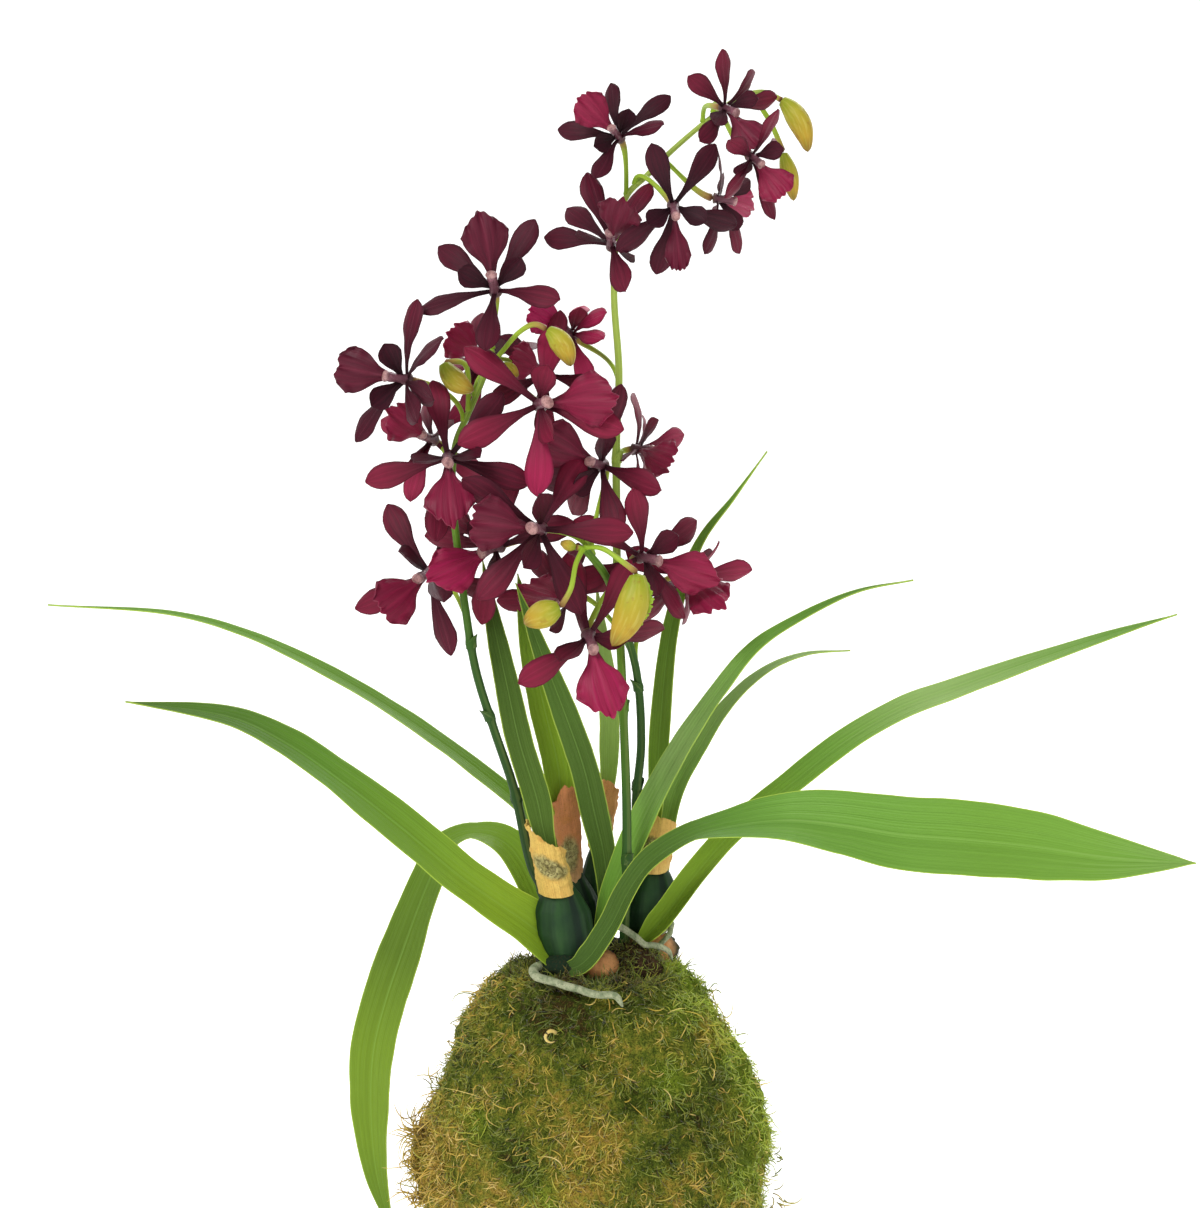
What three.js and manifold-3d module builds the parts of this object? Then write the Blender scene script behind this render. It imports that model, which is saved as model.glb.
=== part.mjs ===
// A kokedama: an orchid with wine-red blooms, growing from a ball of soil wrapped in living moss.
// Units are millimetres, +Z is up. The origin is on the surface that the ball rests on, under the
// middle of the ball. The side that faces -Y is the front.
import * as THREE from 'three';
import { mergeVertices } from 'three/addons/utils/BufferGeometryUtils.js';
import Module from 'manifold-3d';

const wasm = await Module();
wasm.setup();

// ---------------------------------------------------------------- driving dimensions

const CLEARANCE = 0.3; // between pieces that rest on or against each other

const BALL = {
  sides: 24, // facets round the moss
  innerSides: 12, // facets round the soil and the hollow that it fills
  mossThickness: 9,
  mouthRadius: 27, // opening in the moss at the top, where the plant comes out
  rimHeight: 147,
  soilHeight: 149, // top of the soil inside the mouth
  footRadius: 29, // flat spot that the ball rests on
  lump: 1.5, // how far the moss swells and sinks
};

// The moss, as radius and height from the foot to the rim of the mouth.
const MOSS_PROFILE = [
  [BALL.footRadius, 0], [48, 8], [62, 21], [71.5, 40], [75, 60], [75, 74], [70.5, 91],
  [63, 107], [56, 123], [49, 136], [40, 144], [31, BALL.rimHeight],
];

// A heap of soil that is pressed against the front of the rhizome.
const HEAP = { at: [15, -14, 149], half: [13, 9, 9.5] };

// The knots of the rhizome that lie on the soil: middle, then half sizes.
const RHIZOME_KNOTS = [
  [[-11, -15, 150.5], [12, 11, 6]],
  [[3, 1, 150], [17, 15, 6.5]],
  [[-4, 15, 150.5], [13, 13, 6]],
  [[22, 5, 152], [12, 14, 8]],
  [[2, -20, 151], [8, 8, 6.5]],
];

// Pseudobulbs, the water-holding swollen stems: foot, top, half width, half depth, neck radius.
const PSEUDOBULBS = {
  pseudobulb_front_left: { foot: [-10, -14, 149], top: [-14, -14, 186], half: [12, 8], neck: 4.2 },
  pseudobulb_back_left: { foot: [-4, 11, 151], top: [-8, 9, 184], half: [9, 8], neck: 3 },
  pseudobulb_back: { foot: [3, 24, 152], top: [2, 22, 195], half: [8, 7], neck: 3 },
  pseudobulb_right: { foot: [22, 6, 156], top: [24, 7, 190], half: [11, 9], neck: 4 },
};

// Dry papery sheaths round the necks: foot and top of the axis, radii there, middle of the sweep
// as a compass angle from the front, and the height of each strip of the torn edge.
const SHEATHS = {
  sheath_front_left: { foot: [-15.5, -14, 182], top: [-21, -15, 209], radii: [6.6, 5.4], turn: 0,
    torn: [0.5, 0.56, 0.68, 0.82, 0.95, 1] },
  sheath_back_left: { foot: [-8.5, 9, 182], top: [-13, 8, 221], radii: [5, 5], turn: 10,
    torn: [0.7, 0.95, 1, 0.8, 0.75, 0.6] },
  sheath_back: { foot: [2, 22, 193], top: [6, 21, 221], radii: [4.8, 4.4], turn: -10,
    torn: [0.6, 0.7, 0.86, 1, 0.92, 0.7] },
  sheath_right: { foot: [24, 7, 187], top: [27, 9, 211], radii: [6.6, 6.4], turn: 0,
    torn: [0.55, 0.7, 0.8, 0.92, 1, 0.85] },
};
const SHEATH_SWEEP = 230;
const SHEATH_THICKNESS = 0.9;

// Leaves. The path runs from the foot to the tip, `looks` is where the upper face looks along the
// way, `widest` is how far along the blade is widest, `foot` how wide it starts. A high `taper` keeps
// the blade broad until near its tip.
const LEAVES = {
  leaf_far_left: { width: 10.5, widest: 0.3, foot: 0.7, taper: 1.6,
    path: [[-8, 22, 153], [-13, 23, 183], [-26, 23, 203], [-47, 26, 221], [-79, 33, 243], [-111, 40, 261],
      [-143, 47, 275], [-175, 54, 283], [-229, 62, 286]],
    looks: [[0.5, -0.6, 0.5], [0.45, -0.5, 0.75], [0.2, -0.4, 0.9], [0, -0.25, 0.97]] },
  leaf_front_left: { width: 20, widest: 0.2, foot: 1.15, taper: 3,
    path: [[-11, -10, 151], [-18, -13.5, 159], [-27, -19, 168], [-38, -24.5, 177], [-53, -30, 189],
      [-75, -35, 209], [-97, -41, 228], [-119, -47, 245], [-139, -53, 256], [-179, -62, 264]],
    looks: [[0.5, -0.75, 0.45], [0.45, -0.7, 0.6], [0.3, -0.6, 0.75], [0.2, -0.5, 0.85]] },
  leaf_drooping: { width: 20.5, widest: 0.65, foot: 0.72, taper: 2,
    path: [[-13, 4, 154], [-18, 5, 165], [-23.5, 6, 175], [-28.5, 9, 185], [-35.5, 12, 193.5], [-44, 14, 197],
      [-53, 15.5, 196.5], [-60.5, 16.5, 191.5], [-68, 17, 176], [-78.5, 18, 148], [-86, 18, 126],
      [-91, 18, 105], [-92, 18, 76], [-89.5, 17, 52], [-83, 15, 28]],
    looks: [[0.5, -0.8, 0.4], [0.4, -0.85, 0.45], [-0.05, -0.2, 0.97], [-0.5, -0.7, 0.5], [-0.45, -0.88, 0.15],
      [-0.45, -0.88, 0.1], [-0.45, -0.9, 0.05], [-0.4, -0.9, 0], [-0.4, -0.9, 0]] },
  leaf_upright_front: { width: 11, widest: 0.25, foot: 0.5, taper: 3,
    path: [[-15.5, -14, 187], [-20, -14.5, 204], [-22.8, -12.5, 217], [-30, -8, 240], [-35, -3, 262],
      [-41, 4, 289], [-45, 12, 311]],
    looks: [[0.1, -0.95, 0.1], [0.2, -0.9, 0.3]] },
  leaf_upright_back_left: { width: 13, widest: 0.35, foot: 0.4, taper: 3,
    path: [[-8.5, 9, 190], [-13, 8, 211], [-15, 9, 228], [-21, 12, 253], [-27, 16, 282], [-31, 20, 304]],
    looks: [[0.2, -0.9, 0.1], [0.3, -0.9, 0.3]] },
  leaf_upright_middle: { width: 11.5, widest: 0.4, foot: 0.6, taper: 2.5,
    path: [[5, 4, 154], [5.5, 3, 172], [4, 1, 191], [0, -2, 210], [-4, -5, 228], [-12, -8, 252],
      [-22, -11, 279], [-31, -13, 304]],
    looks: [[0.2, -0.95, 0.1], [-0.1, -0.95, 0.2]] },
  leaf_upright_back: { width: 9.5, widest: 0.35, foot: 0.4, taper: 2.5,
    path: [[3, 22, 200], [5.2, 21, 217], [5.5, 24, 252], [3, 28, 276], [1, 32, 298]],
    looks: [[0.5, -0.85, 0], [0.5, -0.8, 0.2]] },
  leaf_upright_right: { width: 8.5, widest: 0.25, foot: 0.6, taper: 1.6,
    path: [[24, 8, 195], [25.5, 12, 218], [27, 17, 243], [31, 24, 279], [37, 30, 301], [45, 34, 318],
      [57, 38, 333], [71, 42, 352]],
    looks: [[0, -0.95, 0.2], [-0.2, -0.8, 0.6], [-0.4, -0.6, 0.7]] },
  leaf_right_inner: { width: 13.5, widest: 0.25, foot: 0.7, taper: 1.3,
    path: [[3, -7, 155], [7, -5, 176], [15, -3, 196], [25, -1, 217], [36, 0, 237], [50, 2, 258],
      [65, 5, 276], [86, 8, 289], [107, 11, 298], [129, 14, 302]],
    looks: [[-0.6, -0.7, 0.3], [-0.5, -0.65, 0.6], [-0.4, -0.55, 0.75], [-0.1, -0.4, 0.9]] },
  leaf_right_back: { width: 8.5, widest: 0.3, foot: 0.7, taper: 1.6,
    path: [[25, 14, 155], [28, 20, 184], [33, 25, 212], [44, 34, 231], [56, 45, 247], [72, 58, 259],
      [89, 70, 264], [109, 82, 264]],
    looks: [[-0.4, -0.8, 0.3], [-0.4, -0.7, 0.6], [-0.1, -0.6, 0.8]] },
  leaf_right_outer: { width: 12.5, widest: 0.35, foot: 0.9, taper: 3,
    path: [[17, -10, 156], [28, -9, 168], [42, -1, 185], [57, 8, 200], [80, 19, 217], [104, 28, 234],
      [127, 34, 246], [151, 39, 254], [181, 44, 264], [215, 49, 275], [243, 54, 283]],
    looks: [[-0.5, -0.7, 0.5], [-0.4, -0.7, 0.6], [-0.35, -0.6, 0.7], [-0.2, -0.5, 0.85]] },
  leaf_front_right: { width: 31, widest: 0.66, foot: 0.36, taper: 2,
    path: [[-13, -23, 151], [-7, -26, 151.5], [-1, -28, 157], [3, -28.5, 163], [8, -28.5, 171],
      [14, -28, 183], [23, -29, 195], [38, -31, 205], [55, -34, 210], [75, -38, 213], [96, -42, 212],
      [119, -46, 209], [142, -50, 208], [169, -54, 206], [195, -59, 203], [214, -62, 202], [231, -66, 202]],
    looks: [[-0.7, -0.65, 0.3], [-0.68, -0.62, 0.4], [-0.6, -0.4, 0.7], [-0.4, -0.2, 0.9],
      [-0.15, -0.5, 0.85], [0, -0.75, 0.6], [0, -0.85, 0.5], [0, -0.87, 0.47], [0.05, -0.9, 0.4],
      [0.05, -0.9, 0.4], [0.05, -0.88, 0.45]] },
};
const LEAF = { rows: 9, fold: 0.22, thickness: 0.9 };

// Roots lie over the soil and the moss.
const ROOTS = {
  root_front: { radius: 1.8, path: [[-18, -15, 151], [-24.5, -25, 151], [-22.5, -33, 150], [-14, -38, 148],
    [-6, -41.5, 146.5], [2, -44.5, 145], [9, -46, 144.5], [11.5, -49, 141]] },
  root_right: { radius: 1.4, path: [[4, -16, 155], [6.3, -17.5, 162], [9.5, -18, 166.5], [15, -18, 163],
    [20, -17, 159.5], [26, -14, 157.5], [30, -12, 155], [32, -10, 150.5]] },
  root_far_right: { radius: 1.3, path: [[26, 3, 158], [31.5, -3, 164.5], [30, -6, 161], [26, -9, 156],
    [24, -10, 152]] },
};
const ROOT = { sides: 5, rows: 6 };

// Flower stems, from foot to tip.
const STEMS = {
  flower_stem_left: { radius: 2, tipRadius: 1.1,
    path: [[-15, -2, 153], [-21, -4, 179], [-25, -5, 188], [-32, -7, 220], [-40, -9, 245], [-47, -11, 269],
      [-51, -12, 294], [-53, -11, 310], [-56, -6, 337], [-55, -2, 358], [-50, -1, 370], [-44, 0, 384],
      [-40, 3, 396]] },
  flower_stem_middle: { radius: 1.9, tipRadius: 0.9,
    path: [[12, -5, 155], [13, -12, 184], [13, -14, 215], [12, -7, 244], [11, 1, 269], [9.5, 7, 296],
      [9, 12, 335], [9, 14, 358], [10, 14, 386], [8, 12, 417], [9, 9, 440], [13, 9, 456], [21, 11, 464],
      [29, 12, 472], [38, 13, 480], [48, 14, 488], [58, 14, 495], [67, 13, 497], [74, 8, 494]] },
  flower_stem_right: { radius: 1.8, tipRadius: 1.5,
    path: [[12, 16, 155], [17.5, 15, 192], [17, 10, 212], [19, 4, 237], [17, -1, 267], [11, -9, 289],
      [5, -20, 307], [-4, -30, 320]] },
};
const STEM = { sides: 5, rows: 13 };

// Buds: the stalk leaves its stem at the first point, and the bud runs from the last point to `tip`.
const BUDS = {
  flower_stem_left: [
    { tip: [-9, -23, 390], width: 9, bow: [3, 0, 2],
      stalk: [[-43, 0, 387], [-37, -4, 394], [-29, -9, 403], [-23, -13, 406], [-18, -16, 404]] },
    { tip: [-47, -12, 380], width: 9, bow: [-3, 0, -3],
      stalk: [[-50, -1, 371], [-51, -5, 390], [-59, -10, 391]] },
    { tip: [-30, -4, 385], width: 5, bow: [0, 0, 1], stalk: [[-42, 1, 389], [-36, -3, 390]] },
  ],
  flower_stem_middle: [
    { tip: [84, -2, 473], width: 9, bow: [4, 0, 3], stalk: [[69, 12, 496], [74, 7, 493.5]] },
    { tip: [79, 5, 454], width: 7, bow: [1, 0, 0], stalk: [[62, 14, 496], [70, 13, 485], [75, 9, 473]] },
  ],
  flower_stem_right: [
    { tip: [7, -45, 283], width: 13, bow: [5, 0, 0],
      stalk: [[-4, -30, 320], [3, -34, 320], [10, -38, 316], [17, -41, 311]] },
    { tip: [-27, -47, 292], width: 11, bow: [0, 0, 1],
      stalk: [[-4, -30, 320], [-7, -37, 314], [-9, -43, 305], [-13, -45, 298]] },
    { tip: [-13, -32, 322], width: 4.5, bow: [0, 0, 0], stalk: [[-4, -30, 319], [-7, -31, 320]] },
  ],
};

// Blooms. `lipWide` makes a lip narrower than the others. A clock pair is an angle seen from the
// front, from +X towards +Z, and how far the part reaches there as seen from the front. What it lacks
// of its full length is turned away or near, as the side that the bloom faces makes it, or the other
// way where the reach is negative.
const BLOOMS = {
  bloom_01: { at: [10, 8, 479], faces: [-0.3, -0.85, 0.4], size: 0.8, stem: 'middle', height: 456,
    tepals: [[99, 22], [41, 26], [15, 18], [171, 25], [240, 19]], lip: [136, 21] },
  bloom_02: { at: [51, -10, 490], faces: [0.6, -0.75, -0.1], size: 0.8, stem: 'middle', height: 484,
    tepals: [[94, 22], [46, 20], [141, 18], [12, 22], [235, 16]], lip: [309, 20] },
  bloom_03: { at: [61, -20, 471], faces: [0.5, -0.8, -0.3], size: 0.8, stem: 'middle', height: 488,
    tepals: [[291, 26], [62, 20], [150, 10], [240, -18], [20, 14]], lip: [308, 20] },
  bloom_04: { at: [49, 8, 455], faces: [0.93, -0.3, -0.1], size: 0.8, stem: 'middle', height: 468,
    tepals: [[261, 22], [90, 19], [75, 9], [296, 24], [262, -9]], lip: [340, -14] },
  bloom_05: { at: [31, -16, 452], faces: [0.1, -0.97, -0.2], size: 0.9, stem: 'middle', height: 460,
    tepals: [[110, 24], [55, 29], [343, 27], [218, -28], [257, 28]], lip: [275, 25], lipWide: 0.6 },
  bloom_06: { at: [7, -6, 437], faces: [-0.15, -0.8, 0.5], size: 0.95, stem: 'middle', height: 424,
    tepals: [[140, 24], [174, 27], [109, 30], [286, 17], [59, 29]], lip: [77, 16] },
  bloom_07: { at: [-39, -2, 419], faces: [-0.1, -0.85, 0.45], size: 1, stem: 'left', height: 395,
    tepals: [[143, 29], [61, 32], [353, 26], [194, 32], [262, 23]], lip: [101, 29] },
  bloom_08: { at: [-74, -6, 384], faces: [-0.8, -0.55, 0.15], size: 1, stem: 'left', height: 366,
    tepals: [[82, 32], [52, 22], [228, 32], [330, 12], [290, 16]], lip: [168, 31] },
  bloom_09: { at: [-57, -20, 354], faces: [0, -0.98, 0.15], size: 1.05, stem: 'left', height: 330,
    tepals: [[103, 31], [196, 34], [262, 32], [344, 33], [50, 33]], lip: [275, 20] },
  bloom_10: { at: [-21, -18, 375], faces: [0, -0.98, 0.15], size: 1.15, stem: 'left', height: 384,
    tepals: [[143, 37], [78, 31], [205, 35], [268, 34], [345, 33]], lip: [7, 28] },
  bloom_11: { at: [3, -4, 350], faces: [-0.3, -0.9, 0.1], size: 1.05, stem: 'right', height: 316,
    tepals: [[341, 23], [283, 26], [77, 33], [240, 26], [200, 26]], lip: [152, 27] },
  bloom_12: { at: [-21, -29, 327], faces: [-0.05, -0.98, 0.1], size: 1.15, stem: 'right', height: 318,
    tepals: [[57, 32], [359, 36], [228, 36], [296, 36], [146, -36]], lip: [169, 26] },
  bloom_13: { at: [-38, -8, 318], faces: [-0.6, -0.75, -0.1], size: 1.05, stem: 'right', height: 315,
    tepals: [[257, 33], [150, 27], [175, 30], [20, 31], [80, 32]], lip: [203, 27] },
  bloom_14: { at: [-66, 4, 306], faces: [-0.35, -0.9, 0], size: 1.07, stem: 'left', height: 275,
    tepals: [[124, 32], [285, 34], [206, 34], [60, -27], [340, -30]], lip: [215, 22] },
  bloom_15: { at: [19, -10, 314], faces: [0.55, -0.8, 0], size: 1, stem: 'right', height: 290,
    tepals: [[95, 28], [28, 27], [305, 31], [200, 31], [150, 31]], lip: [342, 30] },
  bloom_16: { at: [36, 15, 303], faces: [0.7, -0.7, 0], size: 1, stem: 'right', height: 270,
    tepals: [[48, -21], [3, 29], [279, 22], [150, 25], [220, 24]], lip: [330, 16] },
  bloom_17: { at: [-2, -30, 285], faces: [0.15, -0.95, -0.2], size: 1.1, stem: 'right', height: 300,
    tepals: [[212, 31], [59, -34], [0, 31], [105, -33], [292, 34]], lip: [287, 27] },
  bloom_18: { at: [17, 26, 354], faces: [0.9, -0.4, 0.05], size: 0.9, stem: 'middle', height: 345,
    tepals: [[88, 22], [12, 22], [270, 24], [60, 12], [300, 12]], lip: [350, 14] },
  bloom_19: { at: [-9, 36, 400], faces: [-0.4, -0.8, 0.45], size: 0.85, stem: 'middle', height: 380,
    tepals: [[72, 13], [0, 12], [40, 16], [230, -20], [290, 20]], lip: [146, 20] },
  bloom_20: { at: [-19, 17, 385], faces: [0, -0.95, 0.2], size: 0.85, stem: 'left', height: 388,
    tepals: [[78, 26], [143, 24], [205, 24], [268, 26], [345, 22]], lip: [150, 16] },
  bloom_21: { at: [-44, 32, 390], faces: [-0.4, -0.85, 0.3], size: 0.9, stem: 'left', height: 376,
    tepals: [[100, 20], [195, 18], [250, 22], [320, -22], [20, -22]], lip: [140, 18] },
  bloom_22: { at: [-65, 12, 359], faces: [-0.4, -0.9, 0.2], size: 0.95, stem: 'left', height: 335,
    tepals: [[163, 24], [40, -24], [250, 24], [320, -26], [100, 16]], lip: [141, 18] },
  bloom_23: { at: [-10, 12, 295], faces: [-0.3, -0.9, -0.2], size: 0.95, stem: 'right', height: 262,
    tepals: [[185, 30], [135, 24], [20, -24], [300, 26], [80, -20]], lip: [160, 19] },
};

// One bloom at size 1: lengths, and half widths at shares of the length.
const TEPAL = { length: 32, halfWidths: [[0, 0.8], [0.42, 2.6], [0.74, 5], [1, 0.9]], thickness: 0.8 };
const LIP = { length: 29, halfWidths: [[0, 0.8], [0.34, 2.6], [0.74, 9.6], [1, 7]], thickness: 0.8 };
const LIP_NOTCH = 2.6; // in the middle of its end
const LIP_TURN = 0.6; // how far a lip turns its broad side from where the bloom faces to the front
const LIP_FOLD = -0.18; // its edges hang lower than its middle, by this much of the half width
const SIDE_LOBE = { length: 18, halfWidths: [[0, 0.6], [0.66, 4.7], [1, 2.2]], spread: 52, rise: 0.45,
  thickness: 0.8 };
const CLAW_START = 1.5; // from the heart, inside the column, where petals begin
const COLUMN = { back: 1.8, length: 9, radii: [3.2, 2.6, 2.6], tilt: 0.35 };
const PEDICEL = { radius: 1.1, sides: 4, rows: 3 };

// The finish of each kind of piece.
const finish = (color, roughness) => new THREE.MeshStandardMaterial({ color, roughness, metalness: 0 });
const FINISHES = {
  soil: finish(0x2b1f16, 1),
  moss: finish(0x75792a, 1),
  rhizome: finish(0xb07c4a, 0.85),
  pseudobulb: finish(0x1f4a39, 0.45),
  sheath: finish(0xc79a5e, 0.8),
  leaf: finish(0x3f7a2c, 0.45),
  root: finish(0x9aa08a, 0.9),
  stem: finish(0x7fa32e, 0.5),
  bloom: finish(0x6e1a30, 0.6),
};

// ---------------------------------------------------------------- vectors and curves

const vector = ([x, y, z]) => new THREE.Vector3(x, y, z);
const curveThrough = (points) => new THREE.CatmullRomCurve3(points.map(vector), false, 'centripetal');
const moved = (point, direction, distance) => point.clone().addScaledVector(direction, distance);
const radians = THREE.MathUtils.degToRad;

// The part of `direction` that is square to `axis`, at length 1.
function squareTo(direction, axis) {
  return direction.clone().addScaledVector(axis, -direction.dot(axis)).normalize();
}

// A direction between the listed ones, which are spread evenly from 0 to 1.
function directionAt(list, share) {
  const place = share * (list.length - 1);
  const low = Math.min(Math.floor(place), list.length - 2);
  return vector(list[low]).lerp(vector(list[low + 1]), place - low).normalize();
}

// ---------------------------------------------------------------- closed solids

// A solid from a closed geometry.
function solidFrom(geometry) {
  geometry.deleteAttribute('normal');
  geometry.deleteAttribute('uv');
  const merged = mergeVertices(geometry, 1e-4);
  return new wasm.Manifold(new wasm.Mesh({
    numProp: 3,
    vertProperties: merged.attributes.position.array,
    triVerts: new Uint32Array(merged.index.array),
  }));
}

function solidFromTriangles(points, triangles) {
  const geometry = new THREE.BufferGeometry();
  geometry.setAttribute('position', new THREE.Float32BufferAttribute(points.flatMap((p) => p.toArray()), 3));
  geometry.setIndex(triangles.flat());
  return solidFrom(geometry);
}

// Rings of points, each like the one before it, joined by walls and closed at both ends.
function loft(rings) {
  const sides = rings[0].length;
  const triangles = [];
  for (let row = 0; row + 1 < rings.length; row += 1) {
    for (let side = 0; side < sides; side += 1) {
      const a = row * sides + side;
      const b = row * sides + (side + 1) % sides;
      triangles.push([a, b, b + sides], [a, b + sides, a + sides]);
    }
  }
  const last = (rings.length - 1) * sides;
  for (let side = 1; side + 1 < sides; side += 1) {
    triangles.push([0, side + 1, side], [last, last + side, last + side + 1]);
  }
  return solidFromTriangles(rings.flat(), triangles);
}

// A thin body from rows of { top, under } points. Both faces are split along the same diagonals.
function sheet(rows) {
  const columns = rows[0].length;
  const points = rows.flat().flatMap(({ top, under }) => [top, under]);
  const top = (row, column) => (row * columns + column) * 2;
  const under = (row, column) => top(row, column) + 1;
  const triangles = [];
  const quad = (a, b, c, d) => triangles.push([a, b, c], [a, c, d]);
  const lastRow = rows.length - 1;
  const lastColumn = columns - 1;
  for (let r = 0; r < lastRow; r += 1) {
    for (let c = 0; c < lastColumn; c += 1) {
      quad(top(r, c), top(r + 1, c), top(r + 1, c + 1), top(r, c + 1));
      triangles.push([under(r, c), under(r + 1, c + 1), under(r + 1, c)]);
      triangles.push([under(r, c), under(r, c + 1), under(r + 1, c + 1)]);
    }
    quad(top(r, 0), under(r, 0), under(r + 1, 0), top(r + 1, 0));
    quad(top(r, lastColumn), top(r + 1, lastColumn), under(r + 1, lastColumn), under(r, lastColumn));
  }
  for (let c = 0; c < lastColumn; c += 1) {
    quad(top(0, c), top(0, c + 1), under(0, c + 1), under(0, c));
    quad(top(lastRow, c + 1), top(lastRow, c), under(lastRow, c), under(lastRow, c + 1));
  }
  return solidFromTriangles(points, triangles);
}

// A round bar along a curve, with a radius for each share of its length.
function bar(curve, radiusAt, sides, rows) {
  const frames = curve.computeFrenetFrames(rows);
  const rings = [];
  for (let row = 0; row <= rows; row += 1) {
    const share = row / rows;
    const middle = curve.getPointAt(share);
    const ring = [];
    for (let side = 0; side < sides; side += 1) {
      const angle = (side / sides) * 2 * Math.PI;
      const out = frames.normals[row].clone().multiplyScalar(Math.cos(angle))
        .addScaledVector(frames.binormals[row], Math.sin(angle));
      ring.push(moved(middle, out, radiusAt(share)));
    }
    rings.push(ring);
  }
  return loft(rings);
}

// A blade along a curve. Stations are [share, half width]; `looksAt` gives where its face looks.
// The edges stand higher than the middle by `fold` of the half width.
function blade(curve, stations, looksAt, { thickness, fold = 0, notch = 0, columns = 2, grow = 0 }) {
  const last = stations.length - 1;
  return sheet(stations.map(([share, halfWidth], station) => {
    const along = curve.getTangentAt(share);
    const face = squareTo(looksAt(share), along);
    const across = new THREE.Vector3().crossVectors(face, along);
    const middle = curve.getPointAt(share);
    if (station === 0) middle.addScaledVector(along, -grow);
    if (station === last) middle.addScaledVector(along, grow);
    const row = [];
    for (let column = 0; column < columns; column += 1) {
      const side = (2 * column) / (columns - 1) - 1;
      const point = moved(middle, across, side * (halfWidth + grow));
      point.addScaledVector(face, Math.abs(side) * fold * halfWidth);
      if (station === last && side === 0) point.addScaledVector(along, -notch);
      const half = thickness / 2 + grow;
      row.push({ top: moved(point, face, half), under: moved(point, face, -half) });
    }
    return row;
  }));
}

// An egg of straight facets.
function egg(middle, half, grow, sides = 6, rows = 4) {
  const geometry = new THREE.SphereGeometry(1, sides, rows);
  geometry.rotateX(Math.PI / 2);
  geometry.scale(half[0] + grow, half[1] + grow, half[2] + grow);
  geometry.translate(...middle);
  return solidFrom(geometry);
}

const joined = (solids) => solids.reduce((whole, solid) => whole.add(solid));

// ---------------------------------------------------------------- the ball

// A turned body from [radius, height] points, from the middle of its foot to the middle of its top.
function turned(profile, sides, bulge = () => 0) {
  const geometry = new THREE.LatheGeometry(profile.map(([r, z]) => new THREE.Vector2(r, z)), sides);
  geometry.rotateX(Math.PI / 2);
  const position = geometry.attributes.position;
  for (let i = 0; i < position.count; i += 1) {
    const [x, y, z] = [position.getX(i), position.getY(i), position.getZ(i)];
    const scale = 1 + bulge(Math.atan2(y, x), z) / (Math.hypot(x, y) + 1e-6);
    if (Math.hypot(x, y) > 1e-3) position.setXY(i, x * scale, y * scale);
  }
  return solidFrom(geometry);
}

// How far the moss stands out at an angle round the ball and a height.
function mossLump(angle, height) {
  const waves = Math.sin(3 * angle + height / 14 + 1) + 0.7 * Math.sin(5 * angle - height / 9)
    + 0.5 * Math.sin(8 * angle + height / 6 + 2);
  const fade = Math.min(1, height / 12, (BALL.rimHeight - height) / 25);
  return waves * BALL.lump * Math.max(0, fade);
}

// The soil: a ball as deep under the moss as the moss is thick, with a mound in the mouth.
function soilProfile(grow) {
  const inset = BALL.mossThickness - grow;
  const wall = MOSS_PROFILE.filter((point, index) => index % 2 === 0 && point[1] > 8 && point[1] < 140)
    .map(([r, z]) => [r - inset, z]);
  const foot = 8 - grow;
  const neck = BALL.mouthRadius + grow;
  return [[0, foot], [34 + grow, foot], ...wall, [neck, 139 + grow]];
}

function soilBall(grow) {
  const mound = [[BALL.mouthRadius + grow, 145], [16, BALL.soilHeight + grow], [0, BALL.soilHeight + grow]];
  const ball = turned([...soilProfile(grow), ...mound], BALL.innerSides);
  return ball.add(egg(HEAP.at, HEAP.half, grow, 6, 3));
}

function mossCoat(grow) {
  const outline = [[0, 0], ...MOSS_PROFILE.map(([r, z]) => [r + grow, z]), [0, BALL.rimHeight]];
  const mouth = [[BALL.mouthRadius + CLEARANCE, BALL.rimHeight + 20], [0, BALL.rimHeight + 20]];
  const hollow = turned([...soilProfile(CLEARANCE), ...mouth], BALL.innerSides);
  return turned(outline, BALL.sides, mossLump).subtract(hollow);
}

// ---------------------------------------------------------------- the plant

function rhizome(grow) {
  return joined(RHIZOME_KNOTS.map(([middle, half]) => egg(middle, half, grow)));
}

// An egg that leans from its foot to its top and ends in a short neck.
function pseudobulb({ foot, top, half, neck }, grow) {
  const rows = [[0, 0.45], [0.13, 0.8], [0.36, 1], [0.6, 0.92], [0.82, 0.5]];
  const [low, high] = [vector(foot), vector(top)];
  const sides = 10;
  const ring = (share, halfX, halfY) => {
    const middle = low.clone().lerp(high, share);
    return Array.from({ length: sides }, (_, side) => {
      const angle = (side / sides) * 2 * Math.PI;
      return middle.clone().add(vector([Math.cos(angle) * halfX, Math.sin(angle) * halfY, 0]));
    });
  };
  const rings = rows.map(([share, part]) => ring(share, half[0] * part + grow, half[1] * part + grow));
  rings[0].forEach((point) => { point.z -= grow; });
  rings.push(ring(0.97, neck + grow, neck * 0.9 + grow));
  rings.push(ring(1.06 + grow / 35, neck * 0.7 + grow, neck * 0.7 + grow));
  return loft(rings);
}

// A torn paper-dry wrap that is open at the back.
function sheath({ foot, top, radii, turn, torn }, grow) {
  const [low, high] = [vector(foot), vector(top)];
  const rows = [0, 0.35, 0.7, 1].map((share) => torn.map((reach, column) => {
    const angle = radians(270 - turn + SHEATH_SWEEP / 2 - (column / (torn.length - 1)) * SHEATH_SWEEP);
    const along = share * reach;
    const out = vector([Math.cos(angle), Math.sin(angle), 0]);
    const middle = low.clone().lerp(high, along);
    const radius = THREE.MathUtils.lerp(radii[0], radii[1], along);
    const top = moved(middle, out, radius + SHEATH_THICKNESS + grow);
    return { top, under: moved(middle, out, radius - grow) };
  }));
  return sheet(rows);
}

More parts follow.
